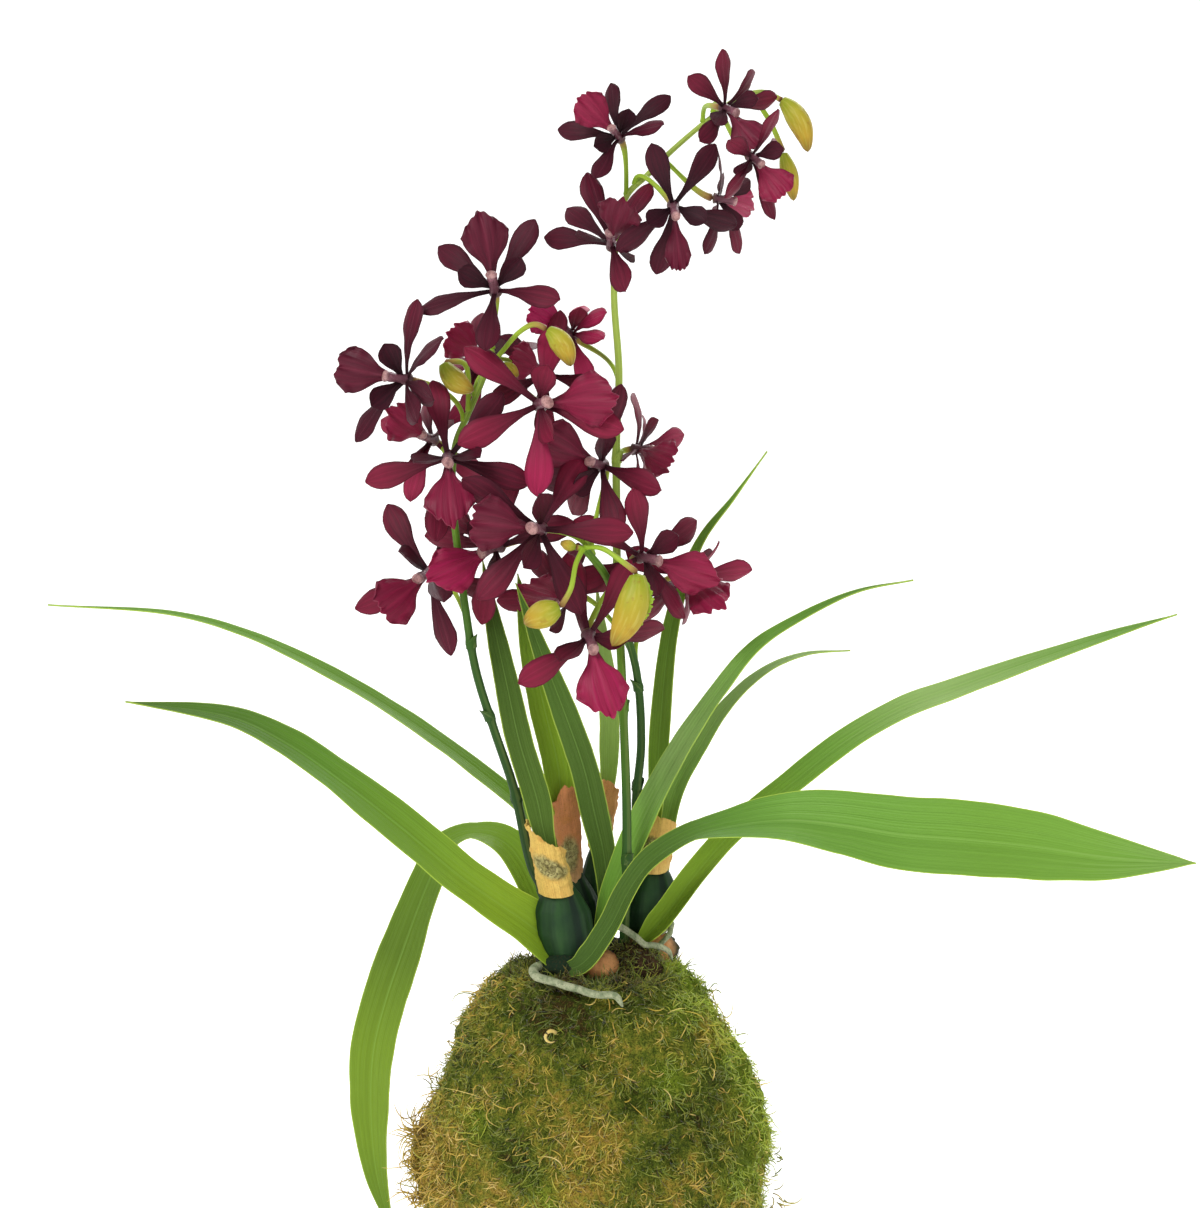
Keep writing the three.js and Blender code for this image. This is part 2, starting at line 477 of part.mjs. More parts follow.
function leaf({ path, looks, width, widest, foot, taper }, grow) {
  const stations = [];
  for (let row = 0; row <= LEAF.rows; row += 1) {
    const share = row / LEAF.rows;
    const rise = foot + (1 - foot) * THREE.MathUtils.smoothstep(share, 0, widest);
    const fall = 1 - Math.max(0, (share - widest) / (1 - widest)) ** taper;
    stations.push([share, Math.max(0.6, 0.5 * width * rise * fall)]);
  }
  const looksAt = (share) => directionAt(looks, share);
  return blade(curveThrough(path), stations, looksAt, { ...LEAF, columns: 3, grow });
}

function root({ path, radius }, grow) {
  const taper = (share) => radius * (1 - 0.25 * share) + grow;
  return bar(curveThrough(path), taper, ROOT.sides, ROOT.rows);
}

// ---------------------------------------------------------------- blooms

const FRONT = vector([0, -1, 0]);

// Where a clock pair points: a flower's parts lie square to where it faces, and its lip comes forward.
function clockDirection([angle, reach], full, faces) {
  const turn = radians(angle);
  const sideways = Math.cos(turn) * faces.x + Math.sin(turn) * faces.z;
  const side = (sideways > 0 ? -1 : 1) * Math.sign(reach);
  const lean = side * Math.acos(Math.min(1, Math.abs(reach) / full));
  return vector([Math.cos(turn) * Math.cos(lean), -Math.sin(lean), Math.sin(turn) * Math.cos(lean)]);
}

// A petal-like blade that starts at `start`, arches over `face` and ends one length away.
function petal(heart, direction, face, form, size, options = {}) {
  const length = (options.length ?? form.length) * size;
  const look = squareTo(face, direction);
  const start = moved(heart, direction, CLAW_START);
  const middle = moved(moved(heart, direction, length / 2), look, length * 0.1);
  const curve = new THREE.QuadraticBezierCurve3(start, middle, moved(heart, direction, length));
  const stations = form.halfWidths.map(([share, half]) => [share, half * size]);
  return blade(curve, stations, () => look, { thickness: form.thickness, ...options });
}

function bloom({ at, faces, size, tepals, lip, lipWide = 1 }, grow) {
  const heart = vector(at);
  const face = vector(faces).normalize();
  const pieces = tepals.map((pair) => {
    const full = Math.max(TEPAL.length * size, Math.abs(pair[1]));
    const direction = clockDirection(pair, full, face);
    return petal(heart, direction, face, TEPAL, size, { grow, length: full / size });
  });
  const lipDirection = clockDirection(lip, LIP.length * size, FRONT);
  const lipFace = face.clone().lerp(FRONT, LIP_TURN).normalize();
  const lipLook = squareTo(lipFace, lipDirection);
  const across = new THREE.Vector3().crossVectors(lipLook, lipDirection);
  const lipShape = { columns: 3, fold: LIP_FOLD, notch: LIP_NOTCH * size };
  const lipForm = { ...LIP, halfWidths: LIP.halfWidths.map(([share, half]) => [share, half * lipWide]) };
  pieces.push(petal(heart, lipDirection, lipFace, lipForm, size, { grow, ...lipShape }));
  const lobeStart = moved(heart, face, 1.4 * size);
  for (const side of [-1, 1]) {
    const direction = lipDirection.clone().multiplyScalar(Math.cos(radians(SIDE_LOBE.spread)))
      .addScaledVector(across, side * Math.sin(radians(SIDE_LOBE.spread)))
      .addScaledVector(lipLook, SIDE_LOBE.rise).normalize();
    pieces.push(petal(lobeStart, direction, lipLook, SIDE_LOBE, size, { grow }));
  }
  pieces.push(column(heart, face, lipDirection, size, grow));
  return joined(pieces);
}

// The column in the heart of the bloom, which leans towards the lip and ends in a rounded head.
function column(heart, face, lipDirection, size, grow) {
  const lean = face.clone().addScaledVector(lipDirection, COLUMN.tilt).normalize();
  const places = [
    [moved(heart, face, -COLUMN.back - grow), face, COLUMN.radii[0] + grow],
    [moved(heart, face, 2 * size), face, COLUMN.radii[1] * size + grow],
    [moved(heart, lean, COLUMN.length * size + grow), lean, COLUMN.radii[2] * size + grow],
  ];
  const sides = 5;
  const rings = places.map(([middle, axis, radius]) => {
    const first = squareTo(lipDirection, axis);
    const second = new THREE.Vector3().crossVectors(axis, first);
    return Array.from({ length: sides }, (_, side) => {
      const angle = (side / sides) * 2 * Math.PI;
      return moved(moved(middle, first, radius * Math.cos(angle)), second, radius * Math.sin(angle));
    });
  });
  return loft(rings);
}

// ---------------------------------------------------------------- flower stems

// The places along a stem's curve between which its bar runs straight.
function stemStops(curve) {
  return Array.from({ length: STEM.rows + 1 }, (_, row) => curve.getPointAt(row / STEM.rows));
}

// The first place on a stem's bar that is at a height.
function stemAtHeight(curve, height) {
  const stops = stemStops(curve);
  const above = stops.findIndex((stop) => stop.z >= height);
  if (above < 1) return stops.at(above);
  const [low, high] = [stops[above - 1], stops[above]];
  return low.clone().lerp(high, (height - low.z) / (high.z - low.z));
}

// The place on a stem's bar that is nearest to a point.
function stemNearest(curve, point) {
  const stops = stemStops(curve);
  const near = stops.slice(1).map((stop, row) => (
    new THREE.Line3(stops[row], stop).closestPointToPoint(point, true, new THREE.Vector3())));
  return near.reduce((best, each) => (each.distanceTo(point) < best.distanceTo(point) ? each : best));
}

// The short stalk of one bloom, from its stem to the back of its column.
function pedicel(stemCurve, { at, faces, height }, grow) {
  const start = stemAtHeight(stemCurve, height);
  const face = vector(faces).normalize();
  const end = moved(vector(at), face, -COLUMN.back - CLEARANCE);
  const pull = start.distanceTo(end) * 0.4;
  const upwards = moved(start, vector([0, 0, 1]), pull);
  const curve = new THREE.CubicBezierCurve3(start, upwards, moved(end, face, -pull), end);
  return bar(curve, () => PEDICEL.radius + grow, PEDICEL.sides, PEDICEL.rows);
}

// A bud and its stalk, which starts on the stem.
function budSolids(stemCurve, { stalk, tip, width, bow }, grow) {
  const neck = vector(stalk.at(-1));
  const bulge = (share) => {
    const swell = Math.sin(Math.PI * Math.min(1, share * 0.86 + 0.1)) ** 0.8;
    return Math.max(PEDICEL.radius * 0.9, (width / 2) * swell) + grow;
  };
  const end = vector(tip);
  const belly = neck.clone().lerp(end, 0.5).add(vector(bow));
  const bud = bar(new THREE.QuadraticBezierCurve3(neck, belly, end), bulge, 6, 4);
  const stalkCurve = curveThrough(stalk);
  stalkCurve.points[0] = stemNearest(stemCurve, stalkCurve.points[0]);
  return [bar(stalkCurve, () => PEDICEL.radius + grow, PEDICEL.sides, stalk.length), bud];
}

function flowerStem(name, grow) {
  const { path, radius, tipRadius } = STEMS[name];
  const curve = curveThrough(path);
  const taper = (share) => THREE.MathUtils.lerp(radius, tipRadius, share ** 1.5) + grow;
  const pieces = [bar(curve, taper, STEM.sides, STEM.rows)];
  for (const flower of Object.values(BLOOMS)) {
    if (name === `flower_stem_${flower.stem}`) pieces.push(pedicel(curve, flower, grow));
  }
  for (const bud of BUDS[name]) pieces.push(...budSolids(curve, bud, grow));
  return joined(pieces);
}

// ---------------------------------------------------------------- assembly

const plant = new THREE.Group();
const placed = [];

// The largest body of a solid, so that no loose scrap is kept.
function largestBody(solid) {
  return solid.decompose().reduce((best, body) => (body.volume() > best.volume() ? body : best));
}

function boxesMeet(a, b) {
  return [0, 1, 2].every((axis) => a.min[axis] < b.max[axis] && b.min[axis] < a.max[axis]);
}

// Adds a piece. `make(grow)` gives its solid, grown by that much; it keeps clear of all before it.
function place(name, material, make) {
  let solid = make(0);
  for (const other of placed) {
    if (!boxesMeet(solid.boundingBox(), other.grown.boundingBox())) continue;
    if (solid.intersect(other.grown).volume() < 1e-4) continue;
    solid = largestBody(solid.subtract(other.grown));
  }
  placed.push({ name, grown: make(CLEARANCE) });
  const { vertProperties, triVerts } = solid.getMesh();
  const geometry = new THREE.BufferGeometry();
  geometry.setAttribute('position', new THREE.BufferAttribute(vertProperties, 3));
  geometry.setIndex(new THREE.BufferAttribute(triVerts, 1));
  geometry.computeVertexNormals();
  const mesh = new THREE.Mesh(geometry, material);
  mesh.name = name;
  plant.add(mesh);
}

function placeAll(table, material, make) {
  for (const [name, sizes] of Object.entries(table)) {
    place(name, material, (grow) => make(sizes, grow));
  }
}

placeAll(PSEUDOBULBS, FINISHES.pseudobulb, pseudobulb);
place('rhizome', FINISHES.rhizome, rhizome);
placeAll(ROOTS, FINISHES.root, root);
place('soil_ball', FINISHES.soil, soilBall);
place('moss_coat', FINISHES.moss, mossCoat);
placeAll(SHEATHS, FINISHES.sheath, sheath);
placeAll(BLOOMS, FINISHES.bloom, bloom);
for (const name of Object.keys(STEMS)) {
  place(name, FINISHES.stem, (grow) => flowerStem(name, grow));
}
placeAll(LEAVES, FINISHES.leaf, leaf);

export default plant;
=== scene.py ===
# %% [markdown]
# # An orchid in a ball of moss
# A kokedama is a plant with no pot. Its roots sit in a ball of soil, and a coat of living moss holds
# the soil together. This one carries an orchid with wine-red flowers. The lesson dresses a plain
# solid model of it: first come the camera and the light, then the finishes, then the plant from its
# base to its flowers, and last the moss.

# %% Load the plain model
import math
import random

import bpy
import numpy as np
from mathutils import Matrix, Vector, noise


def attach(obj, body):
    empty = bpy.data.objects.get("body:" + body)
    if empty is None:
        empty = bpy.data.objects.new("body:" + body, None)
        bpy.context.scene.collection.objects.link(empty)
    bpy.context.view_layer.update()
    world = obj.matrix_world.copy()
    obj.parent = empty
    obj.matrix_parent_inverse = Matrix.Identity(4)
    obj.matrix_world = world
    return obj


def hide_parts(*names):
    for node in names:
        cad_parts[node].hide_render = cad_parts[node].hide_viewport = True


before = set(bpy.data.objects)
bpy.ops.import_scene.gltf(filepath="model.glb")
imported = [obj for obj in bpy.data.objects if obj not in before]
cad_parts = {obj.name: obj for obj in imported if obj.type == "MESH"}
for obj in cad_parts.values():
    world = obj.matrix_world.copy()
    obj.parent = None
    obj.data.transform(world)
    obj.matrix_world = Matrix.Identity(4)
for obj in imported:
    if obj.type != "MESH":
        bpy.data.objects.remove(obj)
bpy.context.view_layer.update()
MM = 0.001  # sizes below are in millimetres, and Blender counts in metres
print("solids:", len(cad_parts))

# %% [markdown]
# ## Camera, floor and light
# The photo looks at the plant from a little above, from a fair distance, so a long lens is used. A
# white sweep stands behind the plant: a floor that curves up into a wall leaves no line behind it.

# %% Camera
LOOK_AT = Vector((2.4, 0, 294)) * MM
DISTANCE = 1300 * MM
RAISED = math.radians(7)
STAND_OFF = Vector((0, -math.cos(RAISED), math.sin(RAISED))) * DISTANCE
bpy.ops.object.camera_add(location=LOOK_AT + STAND_OFF)
camera = bpy.context.object
camera.rotation_euler = (-STAND_OFF).to_track_quat("-Z", "Y").to_euler()
camera.data.sensor_width = 36
camera.data.lens = 96.86
camera.data.clip_start = 0.05
bpy.context.scene.camera = camera
print("camera at", [round(c, 3) for c in camera.location])

# %% Sweep
SWEEP_SIZE, FLOOR_DEPTH, CURVE_RADIUS = 12, 1.6, 1.2  # metres
bpy.ops.object.select_all(action="DESELECT")
bpy.ops.mesh.primitive_grid_add(x_subdivisions=2, y_subdivisions=60, size=SWEEP_SIZE)
sweep = bpy.context.object
sweep.name = "sweep"
for point in sweep.data.vertices:
    far = point.co.y - FLOOR_DEPTH
    if far > 0:
        turn = min(far / CURVE_RADIUS, math.pi / 2)
        point.co.y = FLOOR_DEPTH + CURVE_RADIUS * math.sin(turn)
        point.co.z = CURVE_RADIUS * (1 - math.cos(turn)) + max(0, far - CURVE_RADIUS * math.pi / 2)
bpy.ops.object.shade_smooth()
white = bpy.data.materials.new("white_paper")
white.use_nodes = True
paper = white.node_tree.nodes["Principled BSDF"]
paper.inputs["Base Color"].default_value = (0.85, 0.85, 0.84, 1)
paper.inputs["Roughness"].default_value = 0.9
paper.inputs["Emission Color"].default_value = (1, 1, 1, 1)
paper.inputs["Emission Strength"].default_value = 0.55
sweep.data.materials.append(white)


# %% Lamps
def soft_lamp(name, place, size, power):
    """An area lamp that looks at the middle of the plant."""
    bpy.ops.object.light_add(type="AREA", location=place)
    lamp = bpy.context.object
    lamp.name = name
    lamp.data.size = size
    lamp.data.energy = power
    lamp.rotation_euler = (LOOK_AT - lamp.location).to_track_quat("-Z", "Y").to_euler()


soft_lamp("key", (-0.9, -1.2, 1.6), 0.8, 24)
soft_lamp("fill", (1.4, -1.0, 0.7), 1.2, 5)
soft_lamp("back", (0.6, 1.2, 1.3), 0.9, 16)
world = bpy.data.worlds.new("studio")
bpy.context.scene.world = world
world.use_nodes = True
world.node_tree.nodes["Background"].inputs["Color"].default_value = (1, 1, 1, 1)
world.node_tree.nodes["Background"].inputs["Strength"].default_value = 0.42
bpy.context.scene.view_settings.view_transform = "Standard"

# %% [markdown]
# ## Tools for the finishes
# Every finish is a small tree of nodes. Two effects come back in several of them, so each is a node
# group: fine streaks that run along a blade, and soft mottling that follows its place on the plant.


# %% Node helpers
def feed(tree, socket, value):
    """Gives an input a value, or links it to another node's output."""
    if isinstance(value, bpy.types.NodeSocket):
        tree.links.new(value, socket)
    else:
        socket.default_value = value


def node(tree, kind, links=None, **settings):
    """Adds a node. `links` holds a value or another node's output for each input."""
    made = tree.nodes.new(kind)
    for key, value in settings.items():
        setattr(made, key, value)
    for key, value in (links or {}).items():
        feed(tree, made.inputs[key], value)
    return made


def linear(rgb):
    """A colour from 0 to 255 as Blender stores it."""
    shares = [c / 255 for c in rgb]
    return tuple(s / 12.92 if s < 0.04045 else ((s + 0.055) / 1.055) ** 2.4 for s in shares) + (1,)


def ramp(tree, share, stops):
    """Colours along a share from 0 to 1."""
    made = node(tree, "ShaderNodeValToRGB", {"Fac": share})
    elements = made.color_ramp.elements
    while len(elements) < len(stops):
        elements.new(0.5)
    for element, (place, rgb) in zip(elements, stops):
        element.position = place
        element.color = linear(rgb)
    return made.outputs["Color"]


def blend(tree, share, first, second):
    """Two colours mixed by a share."""
    made = node(tree, "ShaderNodeMix", data_type="RGBA")
    for index, value in ((0, share), (6, first), (7, second)):
        feed(tree, made.inputs[index], linear(value) if isinstance(value, tuple) else value)
    return made.outputs[2]


def math_node(tree, operation, first, second=0.0, third=0.0):
    """One sum."""
    made = node(tree, "ShaderNodeMath", operation=operation)
    for socket, value in zip(made.inputs, (first, second, third)):
        feed(tree, socket, value)
    return made.outputs[0]


def remap(tree, value, low, high, new_low=0.0, new_high=1.0):
    """A value stretched from one range to another."""
    return node(tree, "ShaderNodeMapRange", {"Value": value, "From Min": low, "From Max": high,
                                             "To Min": new_low, "To Max": new_high}).outputs[0]


def attribute(tree, name):
    """A number that is stored on the points of a piece."""
    return node(tree, "ShaderNodeAttribute", attribute_name=name).outputs["Fac"]


def unwrapped(tree):
    """The shares across and along a piece, from its unwrapping."""
    flat = node(tree, "ShaderNodeUVMap").outputs[0]
    return node(tree, "ShaderNodeSeparateXYZ", {0: flat}).outputs[:2]


def from_middle(tree, across):
    """0 along the middle of a blade and 1 at both edges."""
    return math_node(tree, "ABSOLUTE", math_node(tree, "MULTIPLY_ADD", across, 2.0, -1.0))


def varied_tint(tree, spread, low, high):
    """The tint of a piece, made a little lower and higher from spot to spot."""
    return math_node(tree, "ADD", attribute(tree, "tint"), remap(tree, spread, 0.3, 0.7, low, high))


def layered(tree, body, layers):
    """Colours laid over a body. Each shows as its share goes from low to high, up to its most."""
    for colour, share, low, high, most in layers:
        body = blend(tree, remap(tree, share, low, high, 0, most), body, colour)
    return body


# %% Shared effects
def effect(name, inputs, outputs):
    """An empty node group with named inputs and outputs."""
    tree = bpy.data.node_groups.new(name, "ShaderNodeTree")
    for socket, value in inputs.items():
        made = tree.interface.new_socket(socket, in_out="INPUT", socket_type="NodeSocketFloat")
        made.default_value = value
    for socket in outputs:
        tree.interface.new_socket(socket, in_out="OUTPUT", socket_type="NodeSocketFloat")
    return tree, node(tree, "NodeGroupInput"), node(tree, "NodeGroupOutput")


# Streaks: noise on the piece's own unwrapping, squeezed across the blade and drawn out along it.
streaks, given, wanted = effect("streaks", {"Across": 40.0, "Along": 2.0}, ["Fine", "Broad"])
shares = unwrapped(streaks)
for name, factor in (("Fine", 1.0), ("Broad", 0.3)):
    place = node(streaks, "ShaderNodeCombineXYZ")
    for axis in range(2):
        squeezed = math_node(streaks, "MULTIPLY", shares[axis], given.outputs[axis])
        feed(streaks, place.inputs[axis], math_node(streaks, "MULTIPLY", squeezed, factor))
    spread = node(streaks, "ShaderNodeTexNoise",
                  {"Vector": place.outputs[0], "Scale": 1.0, "Detail": 3.0})
    streaks.links.new(spread.outputs["Fac"], wanted.inputs[name])

# Mottling: noise in the plant's own space, one coarse and one fine.
mottle, given, wanted = effect("mottle", {"Size mm": 8.0, "Grain mm": 1.0}, ["Patches", "Grains"])
place = node(mottle, "ShaderNodeTexCoord").outputs["Object"]
for name, index in (("Patches", 0), ("Grains", 1)):
    scale = math_node(mottle, "DIVIDE", 1 / MM, given.outputs[index])
    spread = node(mottle, "ShaderNodeTexNoise",
                  {"Vector": place, "Scale": scale, "Detail": 3.0, "Roughness": 0.6})
    mottle.links.new(spread.outputs["Fac"], wanted.inputs[name])


def use(tree, group, **values):
    """Places an effect in a material, with its own values."""
    made = node(tree, "ShaderNodeGroup", node_tree=group)
    for key, value in values.items():
        made.inputs[key.replace("_", " ")].default_value = value
    return made.outputs


def finish(name, build, roughness=0.6, sheen=0.0, gloss=0.5):
    """A material. `build` gives its colour, its height and how rough it is, from the node tree."""
    made = bpy.data.materials.new(name)
    made.use_nodes = True
    tree = made.node_tree
    surface = tree.nodes["Principled BSDF"]
    colour, height, depth, rough = build(tree)
    tree.links.new(colour, surface.inputs["Base Color"])
    feed(tree, surface.inputs["Roughness"], roughness if rough is None else rough)
    surface.inputs["Specular IOR Level"].default_value = gloss
    surface.inputs["Sheen Weight"].default_value = sheen
    surface.inputs["Sheen Roughness"].default_value = 0.4
    if height is not None:
        bump = node(tree, "ShaderNodeBump",
                    {"Height": height, "Distance": depth * MM, "Strength": 1.0})
        tree.links.new(bump.outputs[0], surface.inputs["Normal"])
    return made


# %% [markdown]
# ## Finishes
# Leaves are green with fine pale veins and a thin yellow rim, and a painted backlight makes them
# yellow-green near the foot.
# Petals are wine red with darker veins and rims. Each piece stores a number called tint, so that one
# finish can be darker on one petal and brighter on the next; on the flowers it is partly their own
# colour and partly painted light and shade.


# %% Leaves
def leaf_colours(tree):
    across, _ = unwrapped(tree)
    fine = use(tree, streaks, Across=120.0, Along=1.2)
    side = from_middle(tree, across)
    to_edge = math_node(tree, "SUBTRACT", 1.0, side)
    from_edge = math_node(tree, "MULTIPLY", to_edge, attribute(tree, "half"))
    # The tint runs from dark to pale green: partly the leaf's own colour and partly painted
    # highlight.
    body = ramp(tree, varied_tint(tree, fine["Broad"], -0.08, 0.08), [
        (0, (24, 50, 10)), (0.25, (50, 86, 20)), (0.5, (84, 138, 38)), (0.75, (110, 164, 62)),
        (1, (170, 204, 124))])
    # Painted backlight: the leaf turns yellow-green where light would shine through it.
    with_painted_backlight = blend(tree, attribute(tree, "painted_backlight"), body, (142, 172, 18))
    coloured = layered(tree, with_painted_backlight, [
        ((112, 144, 62), attribute(tree, "under"), 0, 1, 0.3),  # the dull under side
        ((150, 188, 104), fine["Fine"], 0.46, 0.7, 0.2),  # pale lines
        ((26, 60, 12), fine["Fine"], 0.44, 0.3, 0.3),  # dark lines between them
        ((150, 190, 96), side, 0.045, 0.0, 0.2),  # the line along the middle
        ((190, 214, 84), from_edge, 0.45, 0.2, 0.6)])  # the rim
    return coloured, fine["Fine"], 0.2, remap(tree, fine["Broad"], 0.3, 0.7, 0.36, 0.5)


leaf_skin = finish("leaf_skin", leaf_colours, gloss=0.1)


# %% Petals
def petal_colours(tree):
    across, along = unwrapped(tree)
    fine = use(tree, streaks, Across=30.0, Along=1.6)
    shade = varied_tint(tree, fine["Broad"], -0.1, 0.1)
    root = ramp(tree, shade, [(0, (26, 7, 14)), (0.5, (56, 14, 27)), (1, (100, 24, 46))])
    blade = ramp(tree, shade, [(0, (48, 10, 24)), (0.3, (82, 17, 37)), (0.6, (128, 27, 55)),
                               (1, (176, 36, 84))])
    coloured = layered(tree, root, [
        (blade, along, 0.05, 0.8, 1),
        ((40, 7, 18), fine["Fine"], 0.46, 0.7, 0.12),  # veins
        ((46, 6, 20), from_middle(tree, across), 0.75, 1.0, 0.5)])  # the rim
    return coloured, fine["Fine"], 0.18, None


petal_skin = finish("petal_skin", petal_colours, roughness=0.5, gloss=0.16)


def lip_colours(tree):
    across, along = unwrapped(tree)
    fine = use(tree, streaks, Across=34.0, Along=2.0)
    side = from_middle(tree, across)
    shade = varied_tint(tree, fine["Broad"], -0.1, 0.1)
    root = ramp(tree, shade, [(0, (70, 26, 38)), (1, (140, 58, 80))])
    blade = ramp(tree, shade, [(0, (58, 12, 28)), (0.35, (98, 20, 44)), (0.65, (142, 28, 64)),
                               (1, (184, 24, 92))])
    coloured = layered(tree, root, [
        (blade, along, 0.1, 0.35, 1),
        ((54, 8, 24), fine["Fine"], 0.46, 0.7, 0.14),  # veins
        ((168, 66, 92), side, 0.2, 0.0, 0.12),  # the line along the middle
        ((60, 8, 26), side, 0.92, 1.0, 0.45)])  # the rim
    return coloured, fine["Fine"], 0.25, None


lip_skin = finish("lip_skin", lip_colours, roughness=0.45, gloss=0.2)


def column_colours(tree):
    _, along = unwrapped(tree)
    spots = use(tree, mottle, Size_mm=2.2, Grain_mm=0.5)
    body = ramp(tree, along, [(0, (104, 92, 48)), (0.12, (70, 26, 38)), (0.5, (112, 58, 74)),
                              (0.78, (140, 84, 98)), (0.86, (196, 150, 150)), (1, (186, 138, 132))])
    coloured = layered(tree, body, [
        ((96, 50, 62), spots["Patches"], 0.42, 0.62, 0.6),
        ((84, 30, 48), spots["Grains"], 0.52, 0.7, 0.6)])
    return coloured, spots["Grains"], 0.35, None


column_skin = finish("column_skin", column_colours, roughness=0.4)


# %% Stems and buds
def stem_colours(tree):
    fine = use(tree, streaks, Across=14.0, Along=3.0)
    place = node(tree, "ShaderNodeTexCoord").outputs["Object"]
    rise = remap(tree, node(tree, "ShaderNodeSeparateXYZ", {0: place}).outputs[2], 0.16, 0.42)
    older = math_node(tree, "SUBTRACT", attribute(tree, "tint"), 0.5)
    body = ramp(tree, math_node(tree, "ADD", rise, older), [
        (0, (28, 56, 24)), (0.35, (48, 84, 30)), (0.55, (98, 138, 40)), (0.75, (142, 170, 66)),
        (1, (160, 182, 80))])
    coloured = layered(tree, body, [
        ((60, 84, 30), fine["Fine"], 0.45, 0.75, 0.5),
        ((190, 200, 120), fine["Broad"], 0.5, 0.75, 0.3)])
    return coloured, fine["Fine"], 0.15, None


stem_skin = finish("stem_skin", stem_colours, roughness=0.45, gloss=0.15)


def stalk_colours(tree):
    _, along = unwrapped(tree)
    fine = use(tree, streaks, Across=8.0, Along=3.0)
    body = ramp(tree, along, [(0, (142, 176, 44)), (0.7, (160, 186, 58)), (0.88, (168, 140, 70)),
                              (1, (120, 60, 50))])
    coloured = layered(tree, body, [((98, 128, 40), fine["Fine"], 0.45, 0.75, 0.45)])
    return coloured, fine["Fine"], 0.12, None


stalk_skin = finish("stalk_skin", stalk_colours, roughness=0.45, gloss=0.2)


def bud_colours(tree):
    _, along = unwrapped(tree)
    fine = use(tree, streaks, Across=20.0, Along=2.5)
    spots = use(tree, mottle, Size_mm=4.0, Grain_mm=0.8)
    body = ramp(tree, along, [(0, (138, 156, 32)), (0.35, (170, 162, 46)), (0.8, (178, 146, 44)),
                              (1, (124, 94, 34))])
    coloured = layered(tree, body, [
        ((204, 192, 98), fine["Fine"], 0.5, 0.72, 0.5),
        ((128, 150, 34), fine["Broad"], 0.5, 0.8, 0.7),  # green streaks
        ((150, 104, 36), spots["Patches"], 0.58, 0.74, 0.6)])  # brown blotches
    return coloured, fine["Fine"], 0.3, None


bud_skin = finish("bud_skin", bud_colours, roughness=0.5, gloss=0.25)


# %% Base of the plant
def bulb_colours(tree):
    fine = use(tree, streaks, Across=26.0, Along=0.8)
    spots = use(tree, mottle, Size_mm=9.0, Grain_mm=0.7)
    coloured = layered(tree, (12, 34, 20), [
        ((40, 76, 34), fine["Broad"], 0.35, 0.65, 1),
        ((66, 104, 52), fine["Fine"], 0.5, 0.75, 0.3),
        ((18, 44, 30), spots["Patches"], 0.45, 0.7, 0.4)])
    return coloured, fine["Fine"], 0.25, remap(tree, spots["Patches"], 0.3, 0.7, 0.42, 0.6)


bulb_skin = finish("bulb_skin", bulb_colours, gloss=0.25)


def sheath_colours(tree):
    _, along = unwrapped(tree)
    fine = use(tree, streaks, Across=44.0, Along=1.5)
    spots = use(tree, mottle, Size_mm=5.0, Grain_mm=0.6)
    folds = use(tree, mottle, Size_mm=6.0, Grain_mm=2.6)
    line = math_node(tree, "ABSOLUTE", math_node(tree, "SUBTRACT", folds["Grains"], 0.5))
    brown = blend(tree, remap(tree, along, 0.4, 0.05), (208, 134, 88), (228, 182, 130))
    papery = layered(tree, blend(tree, attribute(tree, "tint"), (222, 186, 98), brown), [
        ((168, 120, 62), fine["Fine"], 0.46, 0.7, 0.4),
        ((196, 132, 60), spots["Patches"], 0.5, 0.7, 0.4)])
    wrinkled = layered(tree, (188, 178, 118), [
        ((150, 140, 84), folds["Patches"], 0.4, 0.6, 1),
        ((84, 70, 40), line, 0.024, 0.0, 0.85)])
    coloured = layered(tree, blend(tree, attribute(tree, "knot"), papery, wrinkled), [
        ((112, 66, 40), line, 0.008, 0.0, 0.25),
        ((96, 70, 44), spots["Grains"], 0.55, 0.75, 0.4)])
    dented = math_node(tree, "MULTIPLY", attribute(tree, "knot"), remap(tree, line, 0.0, 0.05))
    return coloured, math_node(tree, "ADD", fine["Fine"], dented), 0.4, None


sheath_skin = finish("sheath_skin", sheath_colours, roughness=0.8, gloss=0.2)


def rhizome_colours(tree):
    spots = use(tree, mottle, Size_mm=7.0, Grain_mm=0.9)
    bare = layered(tree, (222, 160, 104), [((196, 130, 78), spots["Patches"], 0.35, 0.65, 1)])
    # Painted shade: the bark is darkened so that the knots read as the shadowed bottom of the
    # pseudobulbs.
    bark_and_shade = layered(tree, (58, 56, 28), [((30, 36, 18), spots["Patches"], 0.35, 0.65, 1)])
    green = blend(tree, attribute(tree, "green"), bark_and_shade, (20, 42, 24))
    body = blend(tree, attribute(tree, "tint"), green, bare)
    coloured = layered(tree, body, [((92, 62, 36), spots["Grains"], 0.5, 0.75, 0.3)])
    return coloured, spots["Grains"], 0.3, None


rhizome_skin = finish("rhizome_skin", rhizome_colours, roughness=0.8, gloss=0.2)


def root_colours(tree):
    spots = use(tree, mottle, Size_mm=3.0, Grain_mm=0.5)
    coloured = layered(tree, (172, 176, 142), [
        ((122, 134, 100), spots["Patches"], 0.4, 0.65, 1),
        ((74, 80, 60), spots["Grains"], 0.55, 0.7, 0.8)])
    return coloured, spots["Grains"], 0.3, None


root_skin = finish("root_skin", root_colours, roughness=0.75, gloss=0.2)


def soil_colours(tree):
    spots = use(tree, mottle, Size_mm=5.0, Grain_mm=0.8)
    coloured = layered(tree, (44, 32, 22), [
        ((74, 54, 34), spots["Patches"], 0.35, 0.65, 1),
        ((112, 88, 60), spots["Grains"], 0.55, 0.75, 0.7)])
    return coloured, spots["Grains"], 0.6, None


soil_skin = finish("soil_skin", soil_colours, roughness=0.95, gloss=0.1)


